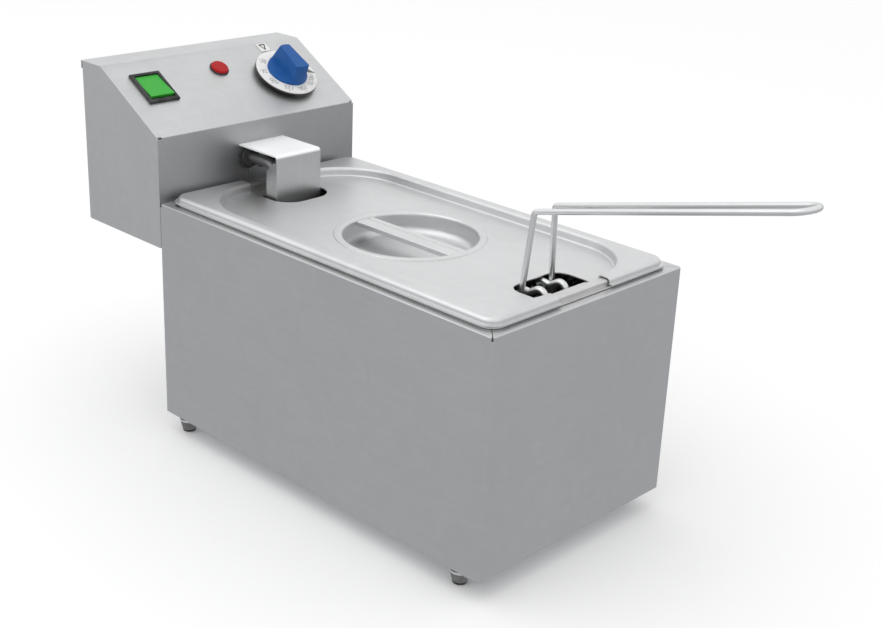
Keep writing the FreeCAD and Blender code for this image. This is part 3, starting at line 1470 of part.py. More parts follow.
os.makedirs("parts", exist_ok=True)
for name, make in nodes.items():
    shape = make()
    shape.exportStep("parts/" + name + ".step")
    print(name, len(shape.Solids), shape.isValid(), round(shape.Volume))
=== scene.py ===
import json
import math

import bmesh
import bpy
from mathutils import Matrix, Vector


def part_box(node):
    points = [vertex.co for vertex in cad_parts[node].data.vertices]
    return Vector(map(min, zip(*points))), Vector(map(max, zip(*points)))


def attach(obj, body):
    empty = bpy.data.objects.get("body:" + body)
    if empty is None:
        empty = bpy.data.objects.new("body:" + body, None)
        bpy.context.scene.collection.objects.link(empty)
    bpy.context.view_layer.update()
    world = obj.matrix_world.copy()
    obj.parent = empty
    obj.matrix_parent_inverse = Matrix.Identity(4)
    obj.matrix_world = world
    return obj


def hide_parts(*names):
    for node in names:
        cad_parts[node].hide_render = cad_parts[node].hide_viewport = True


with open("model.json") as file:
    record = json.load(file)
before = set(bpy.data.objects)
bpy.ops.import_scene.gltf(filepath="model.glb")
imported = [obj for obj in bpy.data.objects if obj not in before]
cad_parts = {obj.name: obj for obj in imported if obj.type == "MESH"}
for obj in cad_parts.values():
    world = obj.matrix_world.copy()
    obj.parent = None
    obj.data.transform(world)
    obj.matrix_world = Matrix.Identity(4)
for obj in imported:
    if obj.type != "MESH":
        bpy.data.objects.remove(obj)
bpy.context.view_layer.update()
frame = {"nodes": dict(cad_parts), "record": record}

scene = bpy.context.scene
mm = 0.001

# Studio: a pale floor that looks white by itself and glows an even grey into the steel, a bright
# soft sky and one large soft box: sheet faces turn from near white on top to mid grey at the sides.
floor_size = 14.0
floor_seen = (0.93, 0.93, 0.93, 1)
floor_mirrored = (0.53, 0.54, 0.555, 1)

floor_bm = bmesh.new()
bmesh.ops.create_grid(floor_bm, x_segments=2, y_segments=2, size=floor_size / 2)
floor_mesh = bpy.data.meshes.new("studio_floor")
floor_bm.to_mesh(floor_mesh)
floor_bm.free()
floor = bpy.data.objects.new("studio_floor", floor_mesh)
scene.collection.objects.link(floor)
floor_finish = bpy.data.materials.new("pale_floor")
floor_finish.use_nodes = True
floor_nodes = floor_finish.node_tree.nodes
floor_links = floor_finish.node_tree.links
floor_nodes.clear()
floor_out = floor_nodes.new("ShaderNodeOutputMaterial")
floor_mix = floor_nodes.new("ShaderNodeMixShader")
floor_pale = floor_nodes.new("ShaderNodeBsdfDiffuse")
floor_glow = floor_nodes.new("ShaderNodeEmission")
floor_path = floor_nodes.new("ShaderNodeLightPath")
floor_pale.inputs["Color"].default_value = floor_seen
floor_glow.inputs["Color"].default_value = floor_mirrored
floor_links.new(floor_path.outputs["Is Camera Ray"], floor_mix.inputs["Fac"])
floor_links.new(floor_glow.outputs["Emission"], floor_mix.inputs[1])
floor_links.new(floor_pale.outputs["BSDF"], floor_mix.inputs[2])
floor_links.new(floor_mix.outputs["Shader"], floor_out.inputs["Surface"])
floor_mesh.materials.append(floor_finish)

sky = bpy.data.worlds.new("soft_sky")
sky.use_nodes = True
scene.world = sky
sky_nodes = sky.node_tree.nodes
sky_links = sky.node_tree.links
sky_coord = sky_nodes.new("ShaderNodeTexCoord")
sky_split = sky_nodes.new("ShaderNodeSeparateXYZ")
sky_ramp = sky_nodes.new("ShaderNodeValToRGB")
sky_ramp.color_ramp.elements[0].position = 0.0
sky_ramp.color_ramp.elements[0].color = (0.72, 0.73, 0.74, 1)
sky_ramp.color_ramp.elements[1].position = 0.35
sky_ramp.color_ramp.elements[1].color = (1, 1, 1, 1)
sky_links.new(sky_coord.outputs["Generated"], sky_split.inputs["Vector"])
sky_links.new(sky_split.outputs["Z"], sky_ramp.inputs["Fac"])
sky_links.new(sky_ramp.outputs["Color"], sky_nodes["Background"].inputs["Color"])
sky_nodes["Background"].inputs["Strength"].default_value = 1.05


def soft_box(name, place, aim, size, power):
    """One rectangular studio light that faces its aim."""
    lamp = bpy.data.lights.new(name, "AREA")
    lamp.shape = "RECTANGLE"
    lamp.size, lamp.size_y = size
    lamp.energy = power
    box = bpy.data.objects.new(name, lamp)
    scene.collection.objects.link(box)
    box.location = place
    box.rotation_euler = (Vector(aim) - Vector(place)).to_track_quat("-Z", "Y").to_euler()


soft_box("key_light", (-0.9, 0.4, 1.5), (0, 0, 0.15), (1.6, 1.6), 5.0)

scene.view_settings.view_transform = "Standard"

# Camera: a 58 mm lens about a metre from the left front corner, looking down on the lid and
# leaned two and a half degrees to its side.
view_turn = math.radians(-46.7505)
view_rise = math.radians(22.0263)
view_roll = math.radians(2.5341)
view_place = Vector((-0.67384, -0.64898, 0.50814))
camera_data = bpy.data.cameras.new("camera")
camera_data.lens = 58.02
camera_data.sensor_width = 36
camera_data.clip_start = 0.01
camera = bpy.data.objects.new("camera", camera_data)
scene.collection.objects.link(camera)
look_back = Vector((math.sin(view_turn) * math.cos(view_rise),
                    -math.cos(view_turn) * math.cos(view_rise), math.sin(view_rise)))
level_right = (-look_back).cross(Vector((0, 0, 1))).normalized()
level_up = level_right.cross(-look_back)
view_right = level_right * math.cos(view_roll) + level_up * math.sin(view_roll)
view_up = -level_right * math.sin(view_roll) + level_up * math.cos(view_roll)
view_frame = Matrix((view_right, view_up, look_back)).transposed().to_4x4()
view_frame.translation = view_place
camera.matrix_world = view_frame
scene.camera = camera

# Body shell: one sheet of 1 mm stainless steel, sheared, notched and folded into a box with
# its deck flanges turned in; satin ground on the outside, with the grain running along it.
record = frame["record"]
body_of = {node: body for body, nodes in record["behaviour"]["bodies"].items() for node in nodes}


def effect_group(name, inputs, outputs):
    """An empty shader node group with named sockets, and its two end nodes."""
    group = bpy.data.node_groups.new(name, "ShaderNodeTree")
    for label, kind, value in inputs:
        socket = group.interface.new_socket(label, in_out="INPUT", socket_type=kind)
        socket.default_value = value
    for label, kind in outputs:
        group.interface.new_socket(label, in_out="OUTPUT", socket_type=kind)
    return group, group.nodes.new("NodeGroupInput"), group.nodes.new("NodeGroupOutput")


def maths(tree, operation, first, second, clamp=False):
    """A Math node fed by sockets or plain numbers; gives its output."""
    node = tree.nodes.new("ShaderNodeMath")
    node.operation = operation
    node.use_clamp = clamp
    for socket, value in zip(node.inputs, (first, second)):
        if isinstance(value, (int, float)):
            socket.default_value = value
        else:
            tree.links.new(value, socket)
    return node.outputs[0]


def noise(tree, place, scale, detail, rough=0.5, warp=0.0):
    """A Noise Texture read at a place; gives its value."""
    node = tree.nodes.new("ShaderNodeTexNoise")
    node.inputs["Scale"].default_value = scale
    node.inputs["Detail"].default_value = detail
    node.inputs["Roughness"].default_value = rough
    node.inputs["Distortion"].default_value = warp
    tree.links.new(place, node.inputs["Vector"])
    return node.outputs["Fac"]


def brushed_group():
    """Fine scratches drawn out along one axis, from the belt that ground the sheet."""
    group, start, end = effect_group("brushed_grain", [("Stretch", "NodeSocketVector", (1, 1, 1))],
                                     [("Grain", "NodeSocketFloat"), ("Streak", "NodeSocketFloat")])
    place = group.nodes.new("ShaderNodeTexCoord").outputs["Object"]
    stretched = group.nodes.new("ShaderNodeVectorMath")
    stretched.operation = "MULTIPLY"
    group.links.new(place, stretched.inputs[0])
    group.links.new(start.outputs["Stretch"], stretched.inputs[1])
    grain = noise(group, stretched.outputs[0], 260.0, 3.0, 0.65)
    streak = noise(group, stretched.outputs[0], 34.0, 2.0)
    group.links.new(grain, end.inputs["Grain"])
    group.links.new(streak, end.inputs["Streak"])
    return group


def handling_group():
    """Soft cloudy marks left by hands and wiping, a few centimetres across."""
    group, start, end = effect_group("handling_marks", [("Reach", "NodeSocketFloat", 1.0)],
                                     [("Marks", "NodeSocketFloat")])
    place = group.nodes.new("ShaderNodeTexCoord").outputs["Object"]
    broad = noise(group, place, 7.0, 3.0, 0.55, 0.6)
    fine = noise(group, place, 46.0, 4.0, 0.6, 1.2)
    both = maths(group, "MULTIPLY", broad, fine)
    spread = maths(group, "SUBTRACT", both, 0.14)
    lifted = maths(group, "MULTIPLY", spread, 5.0, True)
    group.links.new(maths(group, "MULTIPLY", lifted, start.outputs["Reach"]), end.inputs["Marks"])
    return group


def edge_group():
    """Rounded normals at cut edges, and a mask of where the edges are rubbed bright."""
    group, start, end = effect_group("rubbed_edges", [("Sharpness", "NodeSocketFloat", 6.0)],
                                     [("Edge", "NodeSocketFloat"), ("Normal", "NodeSocketVector")])
    rounded = group.nodes.new("ShaderNodeBevel")
    rounded.samples = 4
    rounded.inputs["Radius"].default_value = 0.5 * mm
    facing = group.nodes.new("ShaderNodeVectorMath")
    facing.operation = "DOT_PRODUCT"
    group.links.new(rounded.outputs["Normal"], facing.inputs[0])
    group.links.new(group.nodes.new("ShaderNodeNewGeometry").outputs["Normal"], facing.inputs[1])
    turned = maths(group, "SUBTRACT", 1.0, facing.outputs["Value"])
    edge = maths(group, "MULTIPLY", turned, start.outputs["Sharpness"], True)
    group.links.new(edge, end.inputs["Edge"])
    group.links.new(rounded.outputs["Normal"], end.inputs["Normal"])
    return group


brushed = brushed_group()
handling = handling_group()
rubbed = edge_group()


def place_group(tree, group, **settings):
    """An effect group placed in a material, with that material's own values."""
    node = tree.nodes.new("ShaderNodeGroup")
    node.node_tree = group
    for label, value in settings.items():
        node.inputs[label].default_value = value
    return node


def blend_colours(tree, share, low, high):
    """A colour between two, each a plain colour or a socket."""
    node = tree.nodes.new("ShaderNodeMix")
    node.data_type = "RGBA"
    tree.links.new(share, node.inputs["Factor"])
    for socket, value in ((node.inputs[6], low), (node.inputs[7], high)):
        if isinstance(value, tuple):
            socket.default_value = (*value, 1)
        else:
            tree.links.new(value, socket)
    return node.outputs[2]


def spread(tree, value, low, high):
    """A value from 0 to 1 carried into another range."""
    node = tree.nodes.new("ShaderNodeMapRange")
    tree.links.new(value, node.inputs["Value"])
    node.inputs["To Min"].default_value = low
    node.inputs["To Max"].default_value = high
    return node.outputs["Result"]


def shade(colour, factor):
    """A colour made darker or lighter by a factor."""
    return tuple(min(1.0, channel * factor) for channel in colour)


def metal(name, colour, rough, stretch, scratch=0.02, marks=0.4, rough_spread=0.1):
    """Bare metal: drawn-out scratches, wiping marks and edges rubbed bright."""
    finish = bpy.data.materials.new(name)
    finish.use_nodes = True
    tree = finish.node_tree
    shader = tree.nodes["Principled BSDF"]
    shader.inputs["Metallic"].default_value = 1.0
    grain = place_group(tree, brushed, Stretch=stretch)
    hands = place_group(tree, handling, Reach=marks)
    edges = place_group(tree, rubbed)
    drawn = blend_colours(tree, grain.outputs["Streak"], shade(colour, 0.95), shade(colour, 1.05))
    dulled = blend_colours(tree, hands.outputs["Marks"], drawn, shade(colour, 0.90))
    bright = blend_colours(tree, edges.outputs["Edge"], dulled, shade(colour, 1.12))
    tree.links.new(bright, shader.inputs["Base Color"])
    wide = spread(tree, grain.outputs["Grain"], rough - rough_spread / 2, rough + rough_spread / 2)
    greasy = maths(tree, "MULTIPLY", hands.outputs["Marks"], 0.09)
    tree.links.new(maths(tree, "ADD", wide, greasy), shader.inputs["Roughness"])
    bump = tree.nodes.new("ShaderNodeBump")
    bump.inputs["Strength"].default_value = scratch
    bump.inputs["Distance"].default_value = 0.2 * mm
    tree.links.new(grain.outputs["Grain"], bump.inputs["Height"])
    tree.links.new(edges.outputs["Normal"], bump.inputs["Normal"])
    tree.links.new(bump.outputs["Normal"], shader.inputs["Normal"])
    return finish


def dress(node, finish):
    """Give a CAD node its finish through its material slots."""
    for slot in frame["nodes"][node].material_slots:
        slot.material = finish


def settle(piece, body, finish=None, node=None):
    """Link a finished piece, ride it on its body and hide the CAD node it stands for."""
    if finish:
        piece.data.materials.clear()
        piece.data.materials.append(finish)
    scene.collection.objects.link(piece)
    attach(piece, body)
    if node:
        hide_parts(node)


def clean_copy(node):
    """The CAD node's mesh with its loose triangles merged into one skin."""
    mesh = frame["nodes"][node].data.copy()
    stored = mesh.attributes.get("custom_normal")
    if stored:
        mesh.attributes.remove(stored)
    bm = bmesh.new()
    bm.from_mesh(mesh)
    bmesh.ops.remove_doubles(bm, verts=bm.verts, dist=0.001 * mm)
    bm.to_mesh(mesh)
    bm.free()
    return mesh


def smooth_skin(node, finish, crease=32):
    """A smooth-shaded copy of a CAD node; its flats stay flat and its bends turn softly."""
    mesh = clean_copy(node)
    mesh.shade_smooth()
    mesh.set_sharp_from_angle(angle=math.radians(crease))
    piece = bpy.data.objects.new(node + "_skin", mesh)
    settle(piece, body_of[node], finish, node)
    flats = piece.modifiers.new("flats", "WEIGHTED_NORMAL")
    flats.keep_sharp = True


def eased_skin(node, finish, width, segments=3, crease=40):
    """A copy of a CAD node with every hard edge eased by a small moulding radius."""
    mesh = clean_copy(node)
    bm = bmesh.new()
    bm.from_mesh(mesh)
    bmesh.ops.dissolve_limit(bm, angle_limit=math.radians(0.5), verts=bm.verts, edges=bm.edges)
    bm.to_mesh(mesh)
    bm.free()
    mesh.shade_smooth()
    mesh.set_sharp_from_angle(angle=math.radians(crease))
    piece = bpy.data.objects.new(node + "_skin", mesh)
    settle(piece, body_of[node], finish, node)
    ease = piece.modifiers.new("ease", "BEVEL")
    ease.width = width
    ease.segments = segments
    ease.limit_method = "ANGLE"
    ease.angle_limit = math.radians(crease)
    ease.harden_normals = True


steel_colour = (0.60, 0.606, 0.612)
front_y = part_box("body_shell")[0].y
rear_y, deck_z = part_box("body_shell")[1].yz
satin_steel = metal("satin_steel_sheet", steel_colour, 0.36, (1.0, 1.0, 14.0))
smooth_skin("body_shell", satin_steel)

# Rear panel of the body: flat sheet with two rows of vent slots, held to the body's flanges
# by four zinc-plated pan-head screws with a cross recess.
zinc_plate = metal("zinc_plate", (0.52, 0.54, 0.57), 0.30, (6.0, 6.0, 6.0), 0.03, 0.5)
dress("body_rear_panel", satin_steel)
smooth_skin("rear_panel_screws", zinc_plate)

# Base plate: a sheared sheet of stainless steel with vent slots that closes the casing under
# the tank, screwed up through the foot flanges.
base_steel = metal("base_steel", shade(steel_colour, 0.92), 0.40, (1.0, 14.0, 1.0))
dress("base_plate", base_steel)
smooth_skin("base_screws", zinc_plate)

# Feet: a rubber bush, a bright steel ring and a ribbed rubber bowl on a threaded stud at each
# corner; the stud's nut pulls them up against the base. The bowl is dark grey rubber with
# lighter dusty marks; the bush under the body and the sole on the floor are near-black rubber,
# darkened as painted shade.
def moulded(name, colour, rough, grain=0.04, dust=(0.5, 0.5, 0.5), dusty=0.12, gloss=0.2):
    """A moulded plastic or rubber: a fine skin texture, handling marks and worn edges."""
    finish = bpy.data.materials.new(name)
    finish.use_nodes = True
    tree = finish.node_tree
    shader = tree.nodes["Principled BSDF"]
    shader.inputs["Specular IOR Level"].default_value = gloss
    hands = place_group(tree, handling, Reach=1.0)
    edges = place_group(tree, rubbed)
    place = tree.nodes.new("ShaderNodeTexCoord").outputs["Object"]
    skin = noise(tree, place, 1800.0, 2.0)
    cloudy = blend_colours(tree, hands.outputs["Marks"], colour,
                           tuple(c + (d - c) * dusty for c, d in zip(colour, dust)))
    worn = blend_colours(tree, edges.outputs["Edge"], cloudy, shade(colour, 1.25))
    tree.links.new(worn, shader.inputs["Base Color"])
    wide = spread(tree, skin, rough - 0.05, rough + 0.05)
    greasy = maths(tree, "MULTIPLY", hands.outputs["Marks"], 0.12)
    tree.links.new(maths(tree, "ADD", wide, greasy), shader.inputs["Roughness"])
    bump = tree.nodes.new("ShaderNodeBump")
    bump.inputs["Strength"].default_value = grain
    bump.inputs["Distance"].default_value = 0.3 * mm
    tree.links.new(skin, bump.inputs["Height"])
    tree.links.new(edges.outputs["Normal"], bump.inputs["Normal"])
    tree.links.new(bump.outputs["Normal"], shader.inputs["Normal"])
    return finish


# The bush and the sole are black rubber, darkened to near-black as painted shade under the body and
# at the floor.
foot_rubber = moulded("foot_rubber", (0.13, 0.13, 0.13), 0.62, 0.10, dusty=0.35)
black_sole_and_shade = moulded("black_sole_and_shade", (0.012, 0.012, 0.012), 0.7)
black_bush_and_shade = moulded("black_bush_and_shade", (0.022, 0.022, 0.022), 0.6)
foot_steel = metal("foot_steel", (0.74, 0.75, 0.76), 0.24, (6.0, 6.0, 6.0), 0.02, 0.3)
rib_pitch = 1.1 * mm
rib_depth = 0.16 * mm
sole_height = 2.0 * mm
sole_edge = 0.8 * mm

smooth_skin("foot_collars", black_bush_and_shade)
smooth_skin("foot_washers", foot_steel)
smooth_skin("foot_studs", zinc_plate)


def ribbed_foot(bm, centre, top_z, top_radius, low_radius):
    """Spin the bowl's outline, with shallow ribs round its wall, about its stud."""
    ribs = int((top_z - sole_height) / rib_pitch)
    outline = [(0.0, 0.0), (low_radius - sole_edge, 0.0), (low_radius - 0.2 * mm, 0.3 * mm),
               (low_radius, sole_edge)]
    for i in range(4 * ribs + 1):
        share = i / (4 * ribs)
        height = sole_height + (top_z - sole_height) * share
        wall = low_radius + (top_radius - low_radius) * (height - sole_edge) / (top_z - sole_edge)
        groove = rib_depth * (0.5 - 0.5 * math.cos(2 * math.pi * ribs * share))
        outline.append((wall - groove, height))
    outline.append((0.0, top_z))
    points = [bm.verts.new(centre + Vector((r, 0, z))) for r, z in outline]
    rims = [bm.edges.new(pair) for pair in zip(points, points[1:])]
    bmesh.ops.spin(bm, geom=points + rims, cent=centre, axis=(0, 0, 1), angle=2 * math.pi,
                   steps=40, use_merge=True)


pad_low, pad_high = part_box("foot_pads")
pad_radius = 7.0 * mm
pad_foot_radius = 4.9 * mm
foot_x = pad_high.x - pad_radius
pads_bm = bmesh.new()
for pad_x in (-foot_x, foot_x):
    for pad_y in (pad_low.y + pad_radius, pad_high.y - pad_radius):
        ribbed_foot(pads_bm, Vector((pad_x, pad_y, 0)), pad_high.z, pad_radius, pad_foot_radius)
bmesh.ops.remove_doubles(pads_bm, verts=pads_bm.verts, dist=0.002 * mm)
bmesh.ops.recalc_face_normals(pads_bm, faces=pads_bm.faces)
pads_mesh = bpy.data.meshes.new("foot_bowls")
# Faces of the sole take the near-black rubber, painted shade where the foot meets the floor.
for face in pads_bm.faces:
    face.material_index = 1 if face.calc_center_median().z < sole_height else 0
pads_bm.to_mesh(pads_mesh)
pads_bm.free()
pads_mesh.shade_smooth()
pads_mesh.set_sharp_from_angle(angle=math.radians(50))
pads_mesh.materials.append(foot_rubber)
pads_mesh.materials.append(black_sole_and_shade)
foot_bowls = bpy.data.objects.new("foot_bowls", pads_mesh)
settle(foot_bowls, "body", node="foot_pads")

# Hanger bracket: 2 mm plate folded into a shelf and a tongue, screwed to the rear of the body;
# the control head drops over the tongue.
dress("hanger_bracket", satin_steel)
smooth_skin("hanger_screws", zinc_plate)

# Oil tank: one sheet of stainless steel, deep drawn with a raised rim that the lid sits over.
# It is smoother than the casing and clouded by hot oil.
tank_steel = metal("tank_steel", (0.66, 0.66, 0.655), 0.36, (2.0, 2.0, 2.0), 0.015, 0.8, 0.12)
smooth_skin("oil_tank", tank_steel)

# Lid: a pressed stainless sheet with a turned lip, a raised rim, a sunk panel and a round
# finger well; the grip bar is a hemmed strip welded across the well.
lid_steel = metal("lid_steel", (0.69, 0.695, 0.70), 0.42, (14.0, 0.25, 1.0), 0.008, 0.5, 0.06)
bar_steel = metal("bar_steel", (0.70, 0.705, 0.71), 0.36, (14.0, 0.25, 1.0), 0.02, 0.4)
smooth_skin("lid_plate", lid_steel)
smooth_skin("lid_grip_bar", bar_steel, 25)

# Control head: a folded sheet case with a sloping panel, closed by a screwed back cover and a
# bottom plate; two channels inside run down the hanger's tongue.
head_steel = metal("head_steel", (0.62, 0.626, 0.632), 0.44, (0.25, 14.0, 14.0), 0.02, 0.5)
# Painted shade on the head's front face: its colour darkens towards the bottom, near the lid.
face_skin = 0.4 * mm
face_shade_fade = 0.31
face_shade_colour = (0.60, 0.605, 0.615)


def height_mask(tree, low, high):
    """A soft mask that rises from 0 to 1 between two heights."""
    place = tree.nodes.new("ShaderNodeTexCoord").outputs["Object"]
    split = tree.nodes.new("ShaderNodeSeparateXYZ")
    tree.links.new(place, split.inputs["Vector"])
    node = tree.nodes.new("ShaderNodeMapRange")
    node.interpolation_type = "SMOOTHSTEP"
    tree.links.new(split.outputs["Z"], node.inputs["Value"])
    node.inputs["From Min"].default_value = low
    node.inputs["From Max"].default_value = high
    return node.outputs["Result"], split.outputs["Y"]


def paint_face_shade(finish, face_y, low, high, shade_tint):
    """Paint shade on the front face of the head, darkest low down near the lid."""
    tree = finish.node_tree
    shader = tree.nodes["Principled BSDF"]
    unshaded_colour = shader.inputs["Base Color"].links[0].from_socket
    rise, depth = height_mask(tree, low, high)
    on_face = maths(tree, "LESS_THAN", depth, face_y + face_skin)
    shade_strength = maths(tree, "SUBTRACT", 1.0, maths(tree, "MULTIPLY", rise, face_shade_fade))
    share = maths(tree, "MULTIPLY", shade_strength, on_face)
    face_shaded = tree.nodes.new("ShaderNodeMix")
    face_shaded.data_type = "RGBA"
    face_shaded.blend_type = "MULTIPLY"
    face_shaded.inputs[7].default_value = (*shade_tint, 1)
    tree.links.new(share, face_shaded.inputs["Factor"])
    tree.links.new(unshaded_colour, face_shaded.inputs[6])
    tree.links.new(face_shaded.outputs[2], shader.inputs["Base Color"])


head_low, head_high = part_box("head_shell")
face_shade_deep_z = head_high.z - 89 * mm
face_shade_faint_z = head_high.z - 41 * mm
# Paint shade low on the head's front face, near the lid.
paint_face_shade(head_steel, head_low.y, face_shade_deep_z, face_shade_faint_z, face_shade_colour)
smooth_skin("head_shell", head_steel)
dress("head_back_cover", head_steel)
smooth_skin("head_cover_screws", zinc_plate)
dress("head_bottom_plate", head_steel)
dress("head_guides", zinc_plate)

# Element glands: black heat-proof bushes that carry the element through the face of the head,
# each pulled tight by a brass nut inside.
gland_plastic = moulded("gland_plastic", (0.009, 0.009, 0.010), 0.42, 0.05, gloss=0.08)
brass = metal("turned_brass", (0.78, 0.57, 0.26), 0.28, (6.0, 6.0, 6.0), 0.03, 0.6)
smooth_skin("element_glands", gland_plastic)
smooth_skin("element_gland_nuts", brass, 25)
smooth_skin("capillary_gland", gland_plastic)


# Heating element: one sheathed tube bent into a double hairpin. The sheath has gone dull grey
# from the heat; its two pins and their tabs are nickel-plated.
def bend_wire(name, points, radius, bends, closed=False, sides=16, step=7.5):
    """A round bar drawn along straight runs and bent through an arc at each corner."""
    route = [Vector(point) for point in points]
    count = len(route)
    if not hasattr(bends, "__len__"):
        bends = [bends] * count
    corners = list(range(1, count)) + [0] if closed else list(range(1, count - 1))
    arcs = {}
    for i in corners:
        here = route[i]
        back = (route[i - 1] - here).normalized()
        ahead = (route[(i + 1) % count] - here).normalized()
        half = back.angle(ahead) / 2
        setback = bends[i] / math.tan(half)
        centre = here + (back + ahead).normalized() * (bends[i] / math.sin(half))
        arcs[i] = (here + back * setback, here + ahead * setback, centre,
                   ahead.cross(back).normalized(), math.pi - 2 * half)
    start = arcs[0][1] if closed else route[0]
    heading = (route[1] - route[0]).normalized()
    bm = bmesh.new()
    turn = heading.to_track_quat("Z", "Y").to_matrix().to_4x4()
    ring = bmesh.ops.create_circle(bm, segments=sides, radius=radius,
                                   matrix=Matrix.Translation(start) @ turn)["verts"]
    edges = list({edge for vert in ring for edge in vert.link_edges})
    first_edges = edges
    last = start

    def run_on(edges, shift):
        """Draw the open end of the bar straight on; gives its new end ring."""
        grown = bmesh.ops.extrude_edge_only(bm, edges=edges)["geom"]
        verts = [item for item in grown if isinstance(item, bmesh.types.BMVert)]
        bmesh.ops.translate(bm, verts=verts, vec=shift)
        return [item for item in grown if isinstance(item, bmesh.types.BMEdge)
                and item.verts[0] in verts and item.verts[1] in verts]

    for i in corners:
        begin, end, centre, axis, angle = arcs[i]
        if (begin - last).length > 1e-6:
            edges = run_on(edges, begin - last)
        verts = list({vert for edge in edges for vert in edge.verts})
        steps = max(3, round(math.degrees(angle) / step))
        turned = bmesh.ops.spin(bm, geom=verts + edges, cent=centre, axis=axis, angle=angle,
                                steps=steps)["geom_last"]
        edges = [item for item in turned if isinstance(item, bmesh.types.BMEdge)]
        last = end
    if not closed:
        edges = run_on(edges, route[-1] - last)
        bmesh.ops.edgeloop_fill(bm, edges=first_edges)
        bmesh.ops.edgeloop_fill(bm, edges=edges)
    bmesh.ops.remove_doubles(bm, verts=bm.verts, dist=0.004 * mm)
    bmesh.ops.recalc_face_normals(bm, faces=bm.faces)
    mesh = bpy.data.meshes.new(name)
    bm.to_mesh(mesh)
    bm.free()
    mesh.shade_smooth()
    mesh.set_sharp_from_angle(angle=math.radians(40))
    return mesh


element_radius = 4.0 * mm
element_low, element_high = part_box("heating_element")
element_bend = 14.0 * mm
element_end_x = 13.0 * mm
element_inner_x = 16.0 * mm
element_outer_x = element_high.x - element_radius
element_front = element_low.y + element_radius
element_floor_z = element_low.z + element_radius
element_top_z = element_high.z - element_radius
element_drop_y = rear_y - 36.0 * mm
inner_rear_y = element_drop_y - 22 * mm
half_route = [(element_end_x, element_high.y, element_top_z),
              (element_end_x, element_drop_y, element_top_z),
              (element_end_x, element_drop_y, element_floor_z),
              (element_outer_x, element_drop_y, element_floor_z),
              (element_outer_x, element_front, element_floor_z),
              (element_inner_x, element_front, element_floor_z),
              (element_inner_x, inner_rear_y, element_floor_z)]
element_route = half_route + [(-x, y, z) for x, y, z in reversed(half_route)]
sheath = metal("element_sheath", (0.30, 0.30, 0.305), 0.42, (3.0, 3.0, 3.0), 0.05, 1.0, 0.15)
element_mesh = bend_wire("element_tube", element_route, element_radius, element_bend, sides=28)
settle(bpy.data.objects.new("element_tube", element_mesh), "head", sheath, "heating_element")
smooth_skin("element_terminals", zinc_plate)

# Element guard: a channel of 1.2 mm sheet that shields the rising ends of the element, held
# inside the head's face by two studs and nuts; the flat rest bars clip over the element. Its
# roof is painted near white and less metallic, a painted highlight; its front is brushed.
guard_steel = metal("guard_steel", (0.58, 0.585, 0.59), 0.38, (14.0, 0.25, 0.25), 0.02, 0.3)
guard_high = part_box("element_guard")[1]
guard_tree = guard_steel.node_tree
guard_shader = guard_tree.nodes["Principled BSDF"]
# Painted highlight: the roof is coloured near white and made less metallic, as if lit from above.
roof_painted_light = (0.95, 0.955, 0.96)
roof_low_z = guard_high.z - 14.6 * mm
roof_high_z = guard_high.z - 12.8 * mm
roof_light_share = height_mask(guard_tree, roof_low_z, roof_high_z)[0]
guard_front = guard_shader.inputs["Base Color"].links[0].from_socket
roof_lit_colour = blend_colours(guard_tree, roof_light_share, guard_front, roof_painted_light)
guard_tree.links.new(roof_lit_colour, guard_shader.inputs["Base Color"])
guard_tree.links.new(spread(guard_tree, roof_light_share, 1.0, 0.12), guard_shader.inputs["Metallic"])
smooth_skin("element_guard", guard_steel)
smooth_skin("guard_studs", zinc_plate, 25)
dress("basket_rest_bars", satin_steel)

# Sensors: copper bulbs clipped between the inner runs of the element, each with a thin line
# that rises to its own thermostat inside the head.
copper = metal("tinned_copper", (0.66, 0.52, 0.42), 0.32, (3.0, 3.0, 3.0), 0.04, 0.8)
smooth_skin("control_sensor", copper)
smooth_skin("safety_sensor", copper)
dress("bulb_clips", zinc_plate)

# Switch: a black moulded housing with a bezel, snapped into a cut in the panel. The green
# rocker is moulded apart and tips on a pin across the housing.
switch_black = moulded("switch_black", (0.010, 0.010, 0.011), 0.36, 0.04)
switch_green = moulded("switch_green", (0.028, 0.39, 0.030), 0.34, 0.02, (0.6, 0.6, 0.5), 0.05)
eased_skin("switch_housing", switch_black, 0.25 * mm)
eased_skin("rocker", switch_green, 0.45 * mm)

# Signal lamp: a dark moulded bezel ring pushed into a hole in the panel, with a domed lens of
# red plastic pressed into it.
lens_red = moulded("lens_red", (0.42, 0.002, 0.004), 0.2, 0.02, (0.5, 0.1, 0.1), 0.04, 0.2)
smooth_skin("lamp_bezel", switch_black)
lens_red.node_tree.nodes["Principled BSDF"].inputs["Transmission Weight"].default_value = 0.05
smooth_skin("lamp_lens", lens_red)


# Index plate: a small white enamelled plate, glued to the sloping panel, with a printed black
# triangle that points down at the dial. What lies on the panel is drawn flat and then tilted.
panel_tilt = math.radians(30.0)
panel_foot = Vector((0, head_low.y, deck_z + 48.5 * mm))
on_panel = Matrix.Translation(panel_foot) @ Matrix.Rotation(panel_tilt, 4, "X")


def printed(bm, corners, top, thickness):
    """A thin raised layer of ink with the given corners, drawn flat on the panel."""
    verts = [bm.verts.new((x, y, top - thickness)) for x, y in corners]
    face = bm.faces.new(verts)
    grown = bmesh.ops.extrude_face_region(bm, geom=[face])["geom"]
    bmesh.ops.translate(bm, verts=[v for v in grown if isinstance(v, bmesh.types.BMVert)],
                        vec=(0, 0, thickness))


def lay_on_panel(bm, name):
    """The mesh of what was drawn flat, tilted on to the sloping panel."""
    bmesh.ops.recalc_face_normals(bm, faces=bm.faces)
    bmesh.ops.transform(bm, matrix=on_panel, verts=bm.verts)
    mesh = bpy.data.meshes.new(name)
    bm.to_mesh(mesh)
    bm.free()
    return mesh


